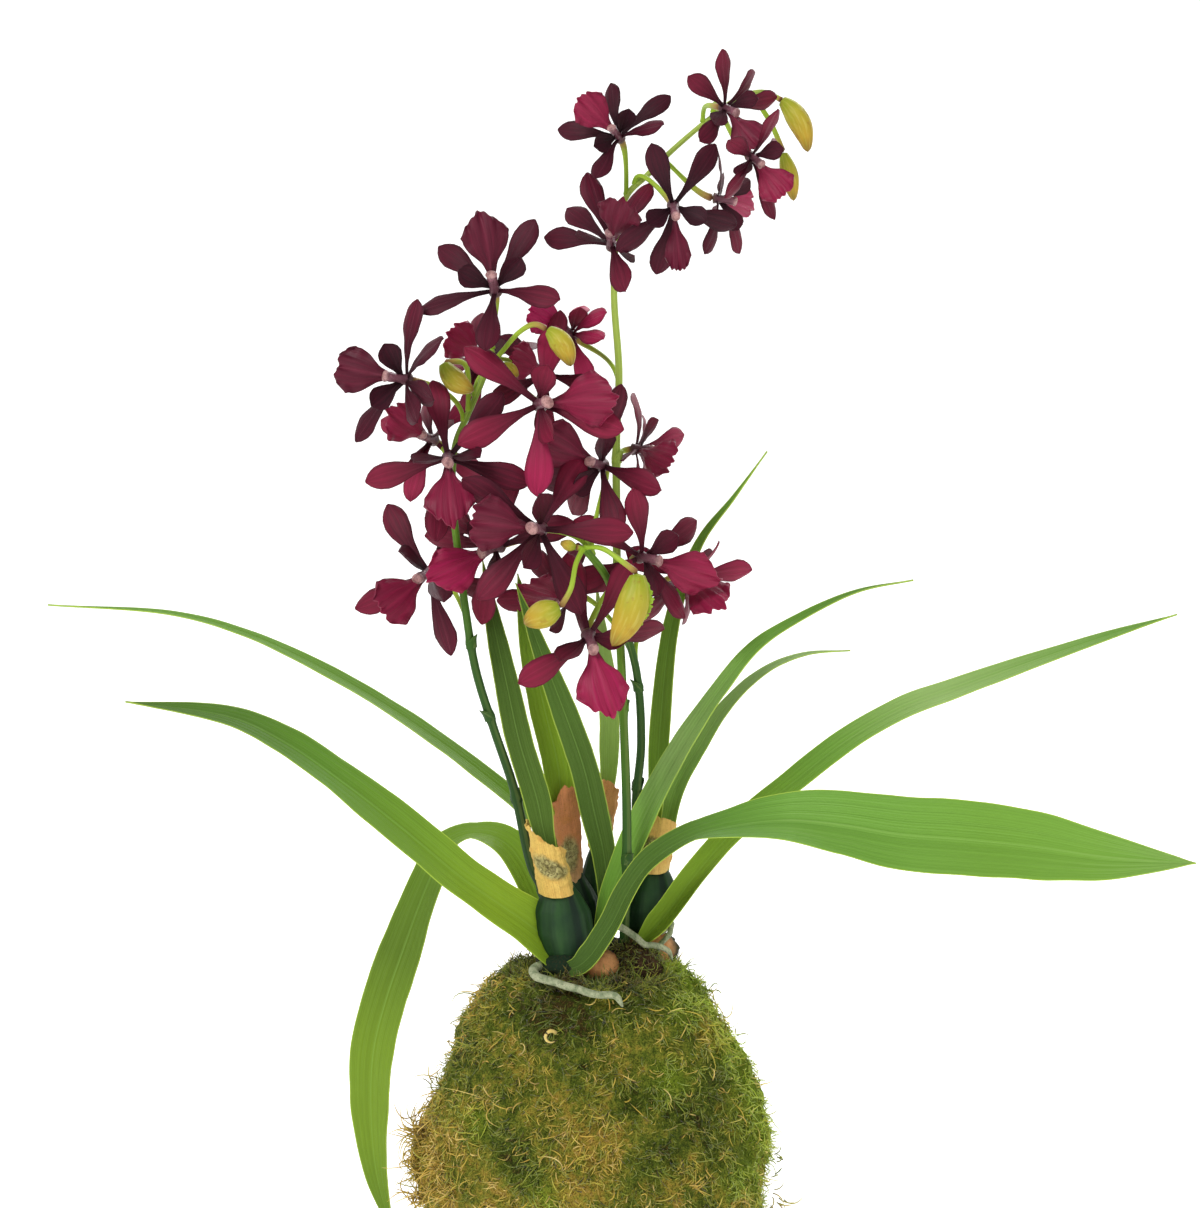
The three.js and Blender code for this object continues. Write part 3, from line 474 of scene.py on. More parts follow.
# %% Moss
def moss_ramp(tree, share):
    """Brown at 0, then deep green, olive, yellow-green, gold, tan and straw at 1."""
    return ramp(tree, share, [
        (0, (76, 58, 28)), (0.1, (66, 80, 24)), (0.26, (92, 114, 34)), (0.44, (128, 140, 46)),
        (0.58, (162, 160, 58)), (0.72, (196, 172, 68)), (0.86, (204, 166, 72)),
        (1, (238, 210, 124))])


def felt_colours(tree):
    spots = use(tree, mottle, Size_mm=3.0, Grain_mm=0.7)
    mossy = moss_ramp(tree, varied_tint(tree, spots["Patches"], -0.25, 0.2))
    body = blend(tree, attribute(tree, "lime_and_backlight"), mossy, (146, 176, 44))
    # Painted shade: the felt is darkened all over and in dark grains, as shade down among the
    # strands; the pale grains are fine fibres.
    coloured = layered(tree, blend(tree, 0.4, body, (46, 42, 14)), [
        ((36, 34, 10), spots["Grains"], 0.52, 0.38, 0.65),
        ((160, 150, 66), spots["Grains"], 0.56, 0.7, 0.4)])
    return coloured, spots["Grains"], 1.2, None


moss_felt = finish("moss_felt", felt_colours, roughness=1.0, gloss=0.1)


def strand_colours(tree):
    along = attribute(tree, "along")
    mossy = moss_ramp(tree, attribute(tree, "tint"))
    coloured = layered(tree, blend(tree, attribute(tree, "lime_and_backlight"), mossy, (184, 212, 68)), [
        ((204, 190, 96), along, 0.3, 1.0, 0.25),  # the tip
        # The root end is painted shade, down in the fuzz between the tufts.
        ((46, 44, 14), along, 0.45, 0.0, 0.55)])  # the root
    return coloured, None, 0, None


moss_fibre = finish("moss_fibre", strand_colours, roughness=0.8, sheen=0.2, gloss=0.15)
print("finishes:", len(bpy.data.materials))

# %% [markdown]
# ## Tools for the shapes
# Almost every part of a plant is a blade or a tube that follows a path. Both start as a flat grid: a
# helper lays its rows along the path. A tube is the same grid rolled up, with its seam merged.


# %% Paths
def even_steps(points, count):
    """The smooth curve through the points, in even steps."""
    knots = [Vector(point) for point in points]
    knots = [2 * knots[0] - knots[1]] + knots + [2 * knots[-1] - knots[-2]]
    fine = []
    for a, b, c, d in zip(knots, knots[1:], knots[2:], knots[3:]):
        t = [0.0]
        for first, second in ((a, b), (b, c), (c, d)):
            t.append(t[-1] + max((second - first).length, 1e-6) ** 0.5)
        for step in range(16):
            s = t[1] + (t[2] - t[1]) * step / 16

            def between(u, v, low, high):
                return u * ((high - s) / (high - low)) + v * ((s - low) / (high - low))

            ab, bc = between(a, b, t[0], t[1]), between(b, c, t[1], t[2])
            cd = between(c, d, t[2], t[3])
            fine.append(between(between(ab, bc, t[0], t[2]), between(bc, cd, t[1], t[3]), t[1], t[2]))
    fine.append(knots[-2])
    return resample(np.array(fine), count)


def resample(line, count):
    """The same line in even steps."""
    steps = np.concatenate([[0], np.cumsum(np.linalg.norm(np.diff(line, axis=0), axis=1))])
    wanted = np.linspace(0, steps[-1], count)
    return np.stack([np.interp(wanted, steps, column) for column in line.T], axis=1)


def unit(rows):
    """The same directions at length 1."""
    rows = np.asarray(rows, float)
    return rows / np.maximum(np.linalg.norm(rows, axis=-1, keepdims=True), 1e-9)


def at(rows, share):
    """Values between evenly spread rows, at shares from 0 to 1."""
    rows = np.asarray(rows, float)
    steps = np.linspace(0, 1, len(rows))
    if rows.ndim == 1:
        return np.interp(share, steps, rows)
    return np.stack([np.interp(share, steps, column) for column in rows.T], axis=1)


def curve_value(stops, share):
    """A smooth value through [share, value] stops."""
    places, values = np.array(stops, float).T
    fine = np.linspace(0, 1, 200)
    rough = np.interp(fine, places, values)
    window = np.array([1, 2, 3, 4, 3, 2, 1], float)
    padded = np.concatenate([[rough[0]] * 3, rough, [rough[-1]] * 3])
    return np.interp(share, fine, np.convolve(padded, window / window.sum(), mode="valid"))


def wobble(share, seed, waves=3):
    """A gentle random wave from about -1 to 1 along a share."""
    dice = random.Random(seed)
    total = 0
    for wave in range(1, waves + 1):
        turns = share * math.pi * 2 * wave * dice.uniform(0.7, 1.3)
        total = total + np.sin(turns + dice.uniform(0, 7)) / wave
    return total / 1.6


def inner(along):
    """1 all along a tube, but 0 at its two ends, which shrink to a point."""
    return np.where((along < 1e-6) | (along > 1 - 1e-6), 0.0, 1.0)


# %% Grids
def lay_grid(name, columns, rows, place, rolled=False):
    """A flat grid whose points go where `place` puts their shares across and along."""
    bpy.ops.object.select_all(action="DESELECT")
    bpy.ops.mesh.primitive_grid_add(x_subdivisions=columns, y_subdivisions=rows, size=1)
    piece = bpy.context.object
    piece.name = name
    flat = np.empty(len(piece.data.vertices) * 3)
    piece.data.vertices.foreach_get("co", flat)
    flat = flat.reshape(-1, 3) + 0.5
    piece.data.vertices.foreach_set("co", (place(flat[:, 0], flat[:, 1]) * MM).ravel())
    piece.data.update()
    if rolled:
        bpy.ops.object.mode_set(mode="EDIT")
        bpy.ops.mesh.select_all(action="SELECT")
        bpy.ops.mesh.remove_doubles(threshold=0.00002)
        bpy.ops.mesh.normals_make_consistent(inside=False)
        bpy.ops.object.mode_set(mode="OBJECT")
        bpy.ops.object.shade_smooth()
    return piece


def unwrapping(piece):
    """The shares across and along its blade where each point lies."""
    uv = piece.data.uv_layers.active.data
    shares = np.zeros((len(piece.data.vertices), 2))
    for loop in piece.data.loops:
        shares[loop.vertex_index] = uv[loop.index].uv
    return shares


def thicken(piece, thickness, thin_edge=1.0, keep_under=False):
    """Gives a blade its thickness, less near its long edges."""
    count = len(piece.data.vertices)
    group = piece.vertex_groups.new(name="body")
    for index, share in enumerate(unwrapping(piece)[:, 0]):
        group.add([index], 1 - (1 - thin_edge) * abs(2 * share - 1) ** 3, "REPLACE")
    bpy.ops.object.modifier_add(type="SOLIDIFY")
    wall = piece.modifiers[-1]
    wall.thickness = thickness * MM
    wall.offset = 0
    wall.vertex_group = "body"
    bpy.ops.object.modifier_apply(modifier=wall.name)
    piece.vertex_groups.clear()
    if keep_under:
        sides = np.zeros(len(piece.data.vertices))
        sides[count:] = 1
        number(piece, "under", sides)
    bpy.ops.object.shade_smooth_by_angle(angle=math.radians(60))


def number(piece, name, values):
    """Stores a number on the points of a piece."""
    store = piece.data.attributes.get(name) or piece.data.attributes.new(name, "FLOAT", "POINT")
    store.data.foreach_set("value", np.broadcast_to(values, len(piece.data.vertices)).astype(float))


def dressed(piece, slot, node_name, *skins):
    """Finishes a piece: gives it its materials, hides the plain part that it stands for, and sets
    what it moves with.
    """
    for skin in skins:
        piece.data.materials.append(skin)
    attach(piece, "root")
    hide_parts(node_name)


def select(pieces):
    """Selects these pieces alone, and makes the first one active."""
    bpy.ops.object.select_all(action="DESELECT")
    for piece in pieces:
        piece.select_set(True)
    bpy.context.view_layer.objects.active = pieces[0]


def duplicate(piece):
    """A copy of a piece, with its own mesh."""
    select([piece])
    bpy.ops.object.duplicate()
    return bpy.context.object


def join(pieces, name):
    """Several pieces made one."""
    select(pieces)
    bpy.ops.object.join()
    joined = bpy.context.object
    joined.name = joined.data.name = name
    return joined


def tube(name, spine, radius, sides, rows, squash=None):
    """A grid rolled round a path. `radius` gives the radius for shares along it."""
    spine = np.asarray(spine, float)
    along_rows = unit(np.gradient(spine, axis=0))
    first = np.cross(along_rows[0], [0.3, 0.9, 0.2])
    firsts = []
    for tangent in along_rows:
        first = first - tangent * np.dot(first, tangent)
        first = first / np.linalg.norm(first)
        firsts.append(first)
    seconds = np.cross(along_rows, np.array(firsts))

    def place(across, along):
        turn = across * 2 * math.pi
        size = radius(along) * inner(along)
        if squash:
            size = size * squash(across, along)
        out = unit(at(firsts, along)) * np.cos(turn)[:, None]
        out = out + unit(at(seconds, along)) * np.sin(turn)[:, None]
        return at(spine, along) + out * size[:, None]

    return lay_grid(name, sides, rows, place, rolled=True)


# %% [markdown]
# ## Pseudobulbs
# These swollen stems store water, and the leaves grow from their tops. Each is an egg drawn in to a
# short neck. Soft ribs run up its sides, as its skin shrinks a little when it dries.

# %% Make the pseudobulbs
# Foot, top, half width and half depth, and the radius of the neck.
PSEUDOBULBS = {
    "pseudobulb_front_left": ([-10, -14, 149], [-14, -14, 186], [12, 8], 4.2),
    "pseudobulb_back_left": ([-4, 11, 151], [-8, 9, 184], [9, 8], 3),
    "pseudobulb_back": ([3, 24, 152], [2, 22, 195], [8, 7], 3),
    "pseudobulb_right": ([22, 6, 156], [24, 7, 190], [11, 9], 4),
}
# Half the width at shares of the height.
BULB_EDGE = [[0, 0.3], [0.06, 0.62], [0.16, 0.86], [0.36, 1], [0.6, 0.93], [0.76, 0.68],
             [0.88, 0.42], [1, 0.36]]


def pseudobulb(name, foot, top, half, neck):
    low, high = np.array(foot, float), np.array(top, float)
    seed = len(name)

    def place(across, along):
        turn = across * 2 * math.pi
        part = curve_value(BULB_EDGE, along)
        ribs = 1 + 0.022 * np.cos(11 * turn + seed) * np.sin(np.clip(along, 0, 0.9) / 0.9 * math.pi)
        ribs = ribs + 0.02 * np.cos(2 * turn + 5 * along + seed)
        ribs = ribs * inner(along)
        wide = np.maximum(half[0] * part, neck * (along > 0.75)) * ribs
        deep = np.maximum(half[1] * part, neck * 0.9 * (along > 0.75)) * ribs
        middle = low + (high - low) * (along * 1.04)[:, None]
        return middle + np.stack([np.cos(turn) * wide, np.sin(turn) * deep, 0 * turn], axis=1)

    dressed(lay_grid(name, 88, 48, place, rolled=True), "pseudobulb", name, bulb_skin)


for name, sizes in PSEUDOBULBS.items():
    pseudobulb(name, *sizes)
print("pseudobulbs:", list(PSEUDOBULBS))

# %% [markdown]
# ## Rhizome and roots
# The rhizome is the knotty base that joins the pseudobulbs. Its knots start as spheres, melt into one
# body with a remesh and get a rough skin. Three roots creep from it over the soil.

# %% Make the rhizome
# The middle of each knot and its half size each way.
KNOTS = [([-11, -15, 150.5], [12, 11, 6]), ([3, 1, 150], [17, 15, 6.5]),
         ([-4, 15, 150.5], [13, 13, 6]), ([22, 5, 152], [12, 14, 8]), ([2, -20, 151], [8, 8, 6.5])]


def stretched_sphere(middle, half, segments):
    """A sphere with its own half size each way, so it can be flat."""
    bpy.ops.mesh.primitive_uv_sphere_add(segments=segments, ring_count=segments // 2, radius=1,
                                         location=Vector(middle) * MM)
    sphere = bpy.context.object
    sphere.scale = Vector(half) * MM
    bpy.ops.object.transform_apply(location=True, rotation=True, scale=True)
    bpy.ops.object.shade_smooth()
    return sphere


rhizome = join([stretched_sphere(*knot, 32) for knot in KNOTS], "rhizome_knots")
bpy.ops.object.modifier_add(type="REMESH")
rhizome.modifiers[-1].voxel_size = 0.9 * MM
bpy.ops.object.modifier_apply(modifier=rhizome.modifiers[-1].name)
bpy.ops.object.mode_set(mode="EDIT")
bpy.ops.mesh.select_all(action="SELECT")
bpy.ops.mesh.vertices_smooth(factor=0.5, repeat=4)
bpy.ops.object.mode_set(mode="OBJECT")
for point in rhizome.data.vertices:
    spot = point.co / MM
    rough = 1.2 * noise.noise(spot * 0.2) + 0.9 * abs(noise.noise(spot * 0.5))
    point.co += point.normal * (rough + 0.3 * noise.noise(spot * 1.4)) * MM
bpy.ops.object.shade_smooth()
spots = np.array([point.co / MM for point in rhizome.data.vertices])


def near(middle, reach):
    """1 close to a spot on the rhizome, and 0 far from it."""
    return np.clip(1.6 - np.linalg.norm(spots - np.array(middle), axis=1) / reach, 0, 1)


number(rhizome, "tint", np.maximum(near((3, -24, 149), 8), near((25, -6, 158), 8)))
number(rhizome, "green", near((-11, -20, 153), 11))
dressed(rhizome, "rhizome", "rhizome", rhizome_skin)
print("rhizome:", len(rhizome.data.polygons), "faces")

# %% Lay the roots
ROOT_STEPS = 90
# Radius and path.
ROOTS = {
    "root_front": (1.8, [[-18, -15, 151], [-24.5, -25, 151], [-22.5, -33, 150], [-14, -38, 148],
        [-6, -41.5, 146.5], [2, -44.5, 145], [9, -46, 144.5], [11.5, -49, 141]]),
    "root_right": (1.4, [[4, -16, 155], [6.3, -17.5, 162], [9.5, -18, 166.5], [15, -18, 163],
        [20, -17, 159.5], [26, -14, 157.5], [30, -12, 155], [32, -10, 150.5]]),
    "root_far_right": (1.3, [[26, 3, 158], [31.5, -3, 164.5], [30, -6, 161], [26, -9, 156],
        [24, -10, 152]]),
}

for name, (radius, path) in ROOTS.items():
    shares = np.linspace(0, 1, ROOT_STEPS)
    spine = even_steps(path, ROOT_STEPS)
    spine[:, 0] += 0.5 * wobble(shares, name + "x", 6)
    spine[:, 2] += 0.4 * wobble(shares, name + "z", 6)

    def thick(along):
        tapered = radius * (1 - 0.25 * along ** 2)
        return tapered * (1 + 0.08 * wobble(along, name, 9)) * (1 - along ** 30)

    dressed(tube(name, spine, thick, 20, 110), "root", name, root_skin)
print("roots:", list(ROOTS))

# %% [markdown]
# ## Soil
# The ball is packed from dark potting soil. A profile is turned round the middle to make it. Only its
# top shows, in the mouth of the moss, so crumbs lie there. A heap is pressed against the rhizome.

# %% Make the soil ball
WALL = [(40, 9), (53, 21), (66, 60), (61.5, 91), (47, 123), (32, 139)]
HEAP = ([15, -14, 149], [13, 9, 9.5])  # soil pressed against the front of the rhizome
SOIL_LINE = [(0, 8.2), (34, 8.2), *WALL, (27, 139.5), (27, 145), (16, 149), (0, 149)]
MOUND_FOOT, MOUND_TOP, TOP_REACH, SLOPE = 145.2, 149.2, 16, 0.36  # past the top it slopes down
CRUMBS, CRUMB_REACH = 220, 26


def turned(name, line, columns, rows, change=None):
    """A profile of (radius, height) turned round the middle of the ball."""
    flat_line = resample(np.array([(r, 0, z) for r, z in line], float), rows + 1)

    def place(across, along):
        turn = across * 2 * math.pi
        spots = at(flat_line, along)
        radius = spots[:, 0] * inner(along)
        made = np.stack([radius * np.cos(turn), radius * np.sin(turn), spots[:, 2]], axis=1)
        return change(made, turn) if change else made

    return lay_grid(name, columns, rows, place, rolled=True)


soil = turned("soil", SOIL_LINE, 96, 80)
for point in soil.data.vertices:
    if point.co.z > MOUND_FOOT * MM:
        spot = point.co / MM
        point.co.z += (0.9 * noise.noise(spot * 0.25) + 0.6 * noise.noise(spot * 0.7)) * MM
heap = stretched_sphere(*HEAP, 48)
for point in heap.data.vertices:
    spot = point.co / MM
    point.co += point.normal * (1.2 * noise.noise(spot * 0.2) + 0.6 * noise.noise(spot * 0.7)) * MM
crumbs = [soil, heap]
dice = random.Random(4)
bpy.ops.mesh.primitive_ico_sphere_add(subdivisions=2, radius=1 * MM)
crumb = bpy.context.object
for _ in range(CRUMBS):
    copy = duplicate(crumb)
    reach, turn = CRUMB_REACH * dice.random() ** 0.5, dice.uniform(0, 2 * math.pi)
    size = [dice.uniform(0.5, 1.7) for _ in range(3)]
    height = MOUND_TOP - max(0, reach - TOP_REACH) * SLOPE
    turned_by = Matrix.Rotation(dice.uniform(0, 6), 4, (dice.random(), dice.random(), 1))
    place = Matrix.Translation(Vector((reach * math.cos(turn), reach * math.sin(turn), height)) * MM)
    copy.data.transform(place @ turned_by @ Matrix.Diagonal((*size, 1)))
    crumbs.append(copy)
bpy.data.objects.remove(crumb)
soil = join(crumbs, "soil_ball_fine")
dressed(soil, "soil", "soil_ball", soil_skin)
print("soil:", len(soil.data.polygons), "faces")

# %% [markdown]
# ## Sheaths
# Old leaf bases dry to thin brown paper round the necks of the pseudobulbs. Each is a blade rolled
# part of the way round, torn along its top, crumpled, and given the thickness of paper.

# %% Wrap the sheaths
# Foot, top, radii at both, turn, how high the torn edge reaches from the right side to the left, how
# brown it is, the height of its knot, how far the knot swells, and how narrow the lower end is.
SHEATHS = {
    "sheath_front_left": ([-15.5, -14, 182], [-21, -15, 209], [6.6, 5.4], 0,
        [0.5, 0.56, 0.68, 0.82, 0.95, 1], 0.0, 0.52, 0.7, 1),
    "sheath_back_left": ([-8.5, 9, 182], [-13, 8, 221], [5, 5], 10, [0.7, 0.95, 1, 0.8, 0.75, 0.6],
        0.95, 0.34, 0.5, 0.66),
    "sheath_back": ([2, 22, 193], [6, 21, 221], [4.8, 4.4], -10, [0.6, 0.7, 0.86, 1, 0.92, 0.7],
        0.7, 0.4, 0.4, 0.8),
    "sheath_right": ([24, 7, 187], [27, 9, 211], [6.6, 6.4], 0, [0.55, 0.7, 0.8, 0.92, 1, 0.85],
        0.2, 0.45, 0.5, 1),
}
SHEATH_TURN = 230  # degrees that a sheath reaches round its neck


def sheath(name, foot, top, radii, turn, torn, brown, knot_at, knot_swell, waist):
    low, high = np.array(foot, float), np.array(top, float)

    def knot_share(across, along, high, wide):
        """1 at the knot on the front of the sheath, and 0 far from it."""
        return np.exp(-((along - knot_at) / high) ** 2 - ((across - 0.5) / wide) ** 2)

    def place(across, along):
        reach = at(torn, across) + 0.03 * wobble(across, name, 9)
        reach = reach + 0.02 * wobble(across * 5, name + "t", 9)
        angle = np.radians(270 - turn + (0.5 - across) * SHEATH_TURN)
        share = along * reach - 0.13 * (1 - along) * (1 - (2 * across - 1) ** 2)
        out = np.stack([np.cos(angle), np.sin(angle), 0 * angle], axis=1)
        wide = radii[0] + (radii[1] - radii[0]) * np.clip(share, 0, 1) + 0.4
        wide = wide * (waist + (1 - waist) * np.clip(share / 0.6, 0, 1))
        wide = wide + 0.35 * wobble(across * 2, name + "c")
        wide = wide + 0.3 * wobble(along * 2 + across, name + "l", 5)
        wide = wide + knot_swell * 2.2 * knot_share(across, along, 0.16, 0.26)
        flare = 0.4 + 0.7 * wobble(across * 3, name + "f")
        flare = np.clip((along - 0.85) / 0.15, 0, 1) ** 2 * flare
        return low + (high - low) * share[:, None] + out * (wide + flare)[:, None]

    piece = lay_grid(name, 56, 60, place)
    across, along = unwrapping(piece).T
    knot = np.clip(3.2 * knot_share(across, along, 0.22, 0.3) - 1.2, 0, 1)
    for point, folded in zip(piece.data.vertices, knot):
        spot = point.co / MM
        folds = 1.6 * folded * (abs(noise.noise(spot * 0.5)) - 0.2)
        point.co += point.normal * (0.4 * noise.noise(spot * 0.45) + folds) * MM
    number(piece, "knot", knot)
    thicken(piece, 0.4)
    number(piece, "tint", brown)
    dressed(piece, "sheath", name, sheath_skin)


for name, sizes in SHEATHS.items():
    sheath(name, *sizes)
print("sheaths:", list(SHEATHS))

# %% [markdown]
# ## Leaves
# A strap leaf is a long blade with a fold along its middle, fine ribs, slightly wavy edges and a
# pointed tip. Every leaf has its own path in space, and a list of where its upper face looks.

# %% Make the leaves
# Width, where it is widest, the share of its width at the foot, how fast it tapers, its path, where
# its upper face looks, how pale it is along its length (partly its own colour and partly painted
# highlight), and how much painted backlight shines through it.
LEAVES = {
    "leaf_far_left": (10.5, 0.3, 0.7, 1.6, [[-8, 22, 153], [-13, 23, 183], [-26, 23, 203],
        [-47, 26, 221], [-79, 33, 243], [-111, 40, 261], [-143, 47, 275], [-175, 54, 283],
        [-229, 62, 286]], [[0.5, -0.6, 0.5], [0.45, -0.5, 0.75], [0.2, -0.4, 0.9],
        [0, -0.25, 0.97]], [0.35, 0.45, 0.6, 0.75], [0.4, 0.2, 0.1, 0]),
    "leaf_front_left": (20, 0.2, 1.15, 3, [[-11, -10, 151], [-18, -13.5, 159], [-27, -19, 168],
        [-38, -24.5, 177], [-53, -30, 189], [-75, -35, 209], [-97, -41, 228], [-119, -47, 245],
        [-139, -53, 256], [-179, -62, 264]], [[0.5, -0.75, 0.45], [0.45, -0.7, 0.6],
        [0.3, -0.6, 0.75], [0.2, -0.5, 0.85]], [0.5, 0.5, 0.46, 0.48, 0.34, 0.3],
        [1, 0.9, 0.4, 0.1, 0, 0]),
    "leaf_drooping": (20.5, 0.65, 0.72, 2, [[-13, 4, 154], [-18, 5, 165], [-23.5, 6, 175],
        [-28.5, 9, 185], [-35.5, 12, 193.5], [-44, 14, 197], [-53, 15.5, 196.5],
        [-60.5, 16.5, 191.5], [-68, 17, 176], [-78.5, 18, 148], [-86, 18, 126], [-91, 18, 105],
        [-92, 18, 76], [-89.5, 17, 52], [-83, 15, 28]], [[0.5, -0.8, 0.4], [0.4, -0.85, 0.45],
        [-0.05, -0.2, 0.97], [-0.5, -0.7, 0.5], [-0.45, -0.88, 0.15], [-0.45, -0.88, 0.1],
        [-0.45, -0.9, 0.05], [-0.4, -0.9, 0], [-0.4, -0.9, 0]],
        [0.5, 0.5, 0.3, 0.04, 0.06, 0.15, 0.3], [0.8, 0.6, 0.3, 0.3, 0.6, 0.6, 0.3]),
    "leaf_upright_front": (11, 0.25, 0.5, 3, [[-15.5, -14, 187], [-20, -14.5, 204],
        [-22.8, -12.5, 217], [-30, -8, 240], [-35, -3, 262], [-41, 4, 289], [-45, 12, 311]],
        [[0.1, -0.95, 0.1], [0.2, -0.9, 0.3]], [0, 0.02, 0.1], [0.1, 0.05, 0]),
    "leaf_upright_back_left": (13, 0.35, 0.4, 3, [[-8.5, 9, 190], [-13, 8, 211], [-15, 9, 228],
        [-21, 12, 253], [-27, 16, 282], [-31, 20, 304]], [[0.2, -0.9, 0.1], [0.3, -0.9, 0.3]],
        [0.5, 0.55, 0.65], [0.9, 0.9, 0.4]),
    "leaf_upright_middle": (11.5, 0.4, 0.6, 2.5, [[5, 4, 154], [5.5, 3, 172], [4, 1, 191],
        [0, -2, 210], [-4, -5, 228], [-12, -8, 252], [-22, -11, 279], [-31, -13, 304]],
        [[0.2, -0.95, 0.1], [-0.1, -0.95, 0.2]], [0, 0.05, 0.28], [0.05, 0.05, 0]),
    "leaf_upright_back": (9.5, 0.35, 0.4, 2.5, [[3, 22, 200], [5.2, 21, 217], [5.5, 24, 252],
        [3, 28, 276], [1, 32, 298]], [[0.5, -0.85, 0], [0.5, -0.8, 0.2]], [0.85, 1, 1],
        [0.6, 0.4, 0.2]),
    "leaf_upright_right": (8.5, 0.25, 0.6, 1.6, [[24, 8, 195], [25.5, 12, 218], [27, 17, 243],
        [31, 24, 279], [37, 30, 301], [45, 34, 318], [57, 38, 333], [71, 42, 352]],
        [[0, -0.95, 0.2], [-0.2, -0.8, 0.6], [-0.4, -0.6, 0.7]], [0.3, 0.25, 0.4, 0.6],
        [0.5, 0.3, 0.2, 0]),
    "leaf_right_inner": (13.5, 0.25, 0.7, 1.3, [[3, -7, 155], [7, -5, 176], [15, -3, 196],
        [25, -1, 217], [36, 0, 237], [50, 2, 258], [65, 5, 276], [86, 8, 289], [107, 11, 298],
        [129, 14, 302]], [[-0.6, -0.7, 0.3], [-0.5, -0.65, 0.6], [-0.4, -0.55, 0.75],
        [-0.1, -0.4, 0.9]], [0.25, 0.7, 0.95, 0.8, 0.5, 0.5], [0.1, 0.1, 0, 0, 0, 0]),
    "leaf_right_back": (8.5, 0.3, 0.7, 1.6, [[25, 14, 155], [28, 20, 184], [33, 25, 212],
        [44, 34, 231], [56, 45, 247], [72, 58, 259], [89, 70, 264], [109, 82, 264]],
        [[-0.4, -0.8, 0.3], [-0.4, -0.7, 0.6], [-0.1, -0.6, 0.8]], [0.6, 0.85, 0.95, 0.9],
        [0.6, 0.2, 0, 0]),
    "leaf_right_outer": (12.5, 0.35, 0.9, 3, [[17, -10, 156], [28, -9, 168], [42, -1, 185],
        [57, 8, 200], [80, 19, 217], [104, 28, 234], [127, 34, 246], [151, 39, 254], [181, 44, 264],
        [215, 49, 275], [243, 54, 283]], [[-0.5, -0.7, 0.5], [-0.4, -0.7, 0.6], [-0.35, -0.6, 0.7],
        [-0.2, -0.5, 0.85]], [0.2, 0.35, 0.7, 1, 0.85, 0.7], [0.9, 0.6, 0.15, 0, 0, 0]),
    "leaf_front_right": (31, 0.66, 0.36, 2, [[-13, -23, 151], [-7, -26, 151.5], [-1, -28, 157],
        [3, -28.5, 163], [8, -28.5, 171], [14, -28, 183], [23, -29, 195], [38, -31, 205],
        [55, -34, 210], [75, -38, 213], [96, -42, 212], [119, -46, 209], [142, -50, 208],
        [169, -54, 206], [195, -59, 203], [214, -62, 202], [231, -66, 202]], [[-0.7, -0.65, 0.3],
        [-0.68, -0.62, 0.4], [-0.6, -0.4, 0.7], [-0.4, -0.2, 0.9], [-0.15, -0.5, 0.85],
        [0, -0.75, 0.6], [0, -0.85, 0.5], [0, -0.87, 0.47], [0.05, -0.9, 0.4], [0.05, -0.9, 0.4],
        [0.05, -0.88, 0.45]], [0, 0.05, 0.35, 0.75, 0.7, 0.66, 0.75, 0.85],
        [0, 0, 0, 0, 0.05, 0.15, 0.15, 0.05]),
}


def blade_half(along, width, widest, foot, taper):
    """Half the width of a blade at shares along it."""
    grown = np.clip(along / widest, 0, 1)
    rise = foot + (1 - foot) * grown * grown * (3 - 2 * grown)
    fall = 1 - np.maximum(0, (along - widest) / (1 - widest)) ** taper
    return 0.5 * width * rise * fall


LEAF_STEPS = 121  # points along the middle of a leaf


def leaf(name, width, widest, foot, taper, path, looks, pale, painted_backlight):
    spine = even_steps(path, LEAF_STEPS)
    headings = unit(np.gradient(spine, axis=0))
    faces = unit(at(looks, np.linspace(0, 1, LEAF_STEPS)))

    def place(across, along):
        side = 2 * across - 1
        heading = unit(at(headings, along))
        face = at(faces, along)
        face = unit(face - heading * np.sum(face * heading, axis=1, keepdims=True))
        sideways = np.cross(face, heading)
        grown = np.clip(along / widest, 0, 1)
        rounded = np.sqrt(np.clip(along / 0.045, 0, 1))
        half = np.maximum(0.25, blade_half(along, width, widest, foot, taper) * rounded)
        edge = 1 + 0.02 * wobble(along * 4, name + ("a" if width > 14 else "b"), 5) * np.abs(side)
        fold = 0.22 * (np.sqrt(side ** 2 + 0.012) - 0.11) + 0.1 * (1 - grown) * side ** 2
        wave = 0.05 * wobble(along * 3 + 0.12 * np.sign(side), name, 4) * side ** 2
        ribs = 0.10 * np.cos(side * math.pi * 7) * (np.abs(side) < 0.93) * np.clip(half / 6, 0, 1)
        lift = (fold + wave) * half + ribs
        return at(spine, along) + sideways * (side * half * edge)[:, None] + face * lift[:, None]

    piece = lay_grid(name, 26, 104, place)
    shares = unwrapping(piece)[:, 1]
    number(piece, "half", blade_half(shares, width, widest, foot, taper))
    # The tint along the leaf: partly its own colour and partly painted highlight.
    number(piece, "tint", at(pale, shares))
    # How much painted backlight each stretch of the leaf takes.
    number(piece, "painted_backlight", at(painted_backlight, shares))
    thicken(piece, 0.75, thin_edge=0.35, keep_under=True)
    dressed(piece, "leaf", name, leaf_skin)


for name, sizes in LEAVES.items():
    leaf(name, *sizes)
print("leaves:", len(LEAVES))

# %% [markdown]
# ## Flower stems
# Three stems rise from the base. Each is a long thin tube with swollen nodes, and a small bract
# clasps every node. Short stalks branch off it, and each ends in a flower or a bud.

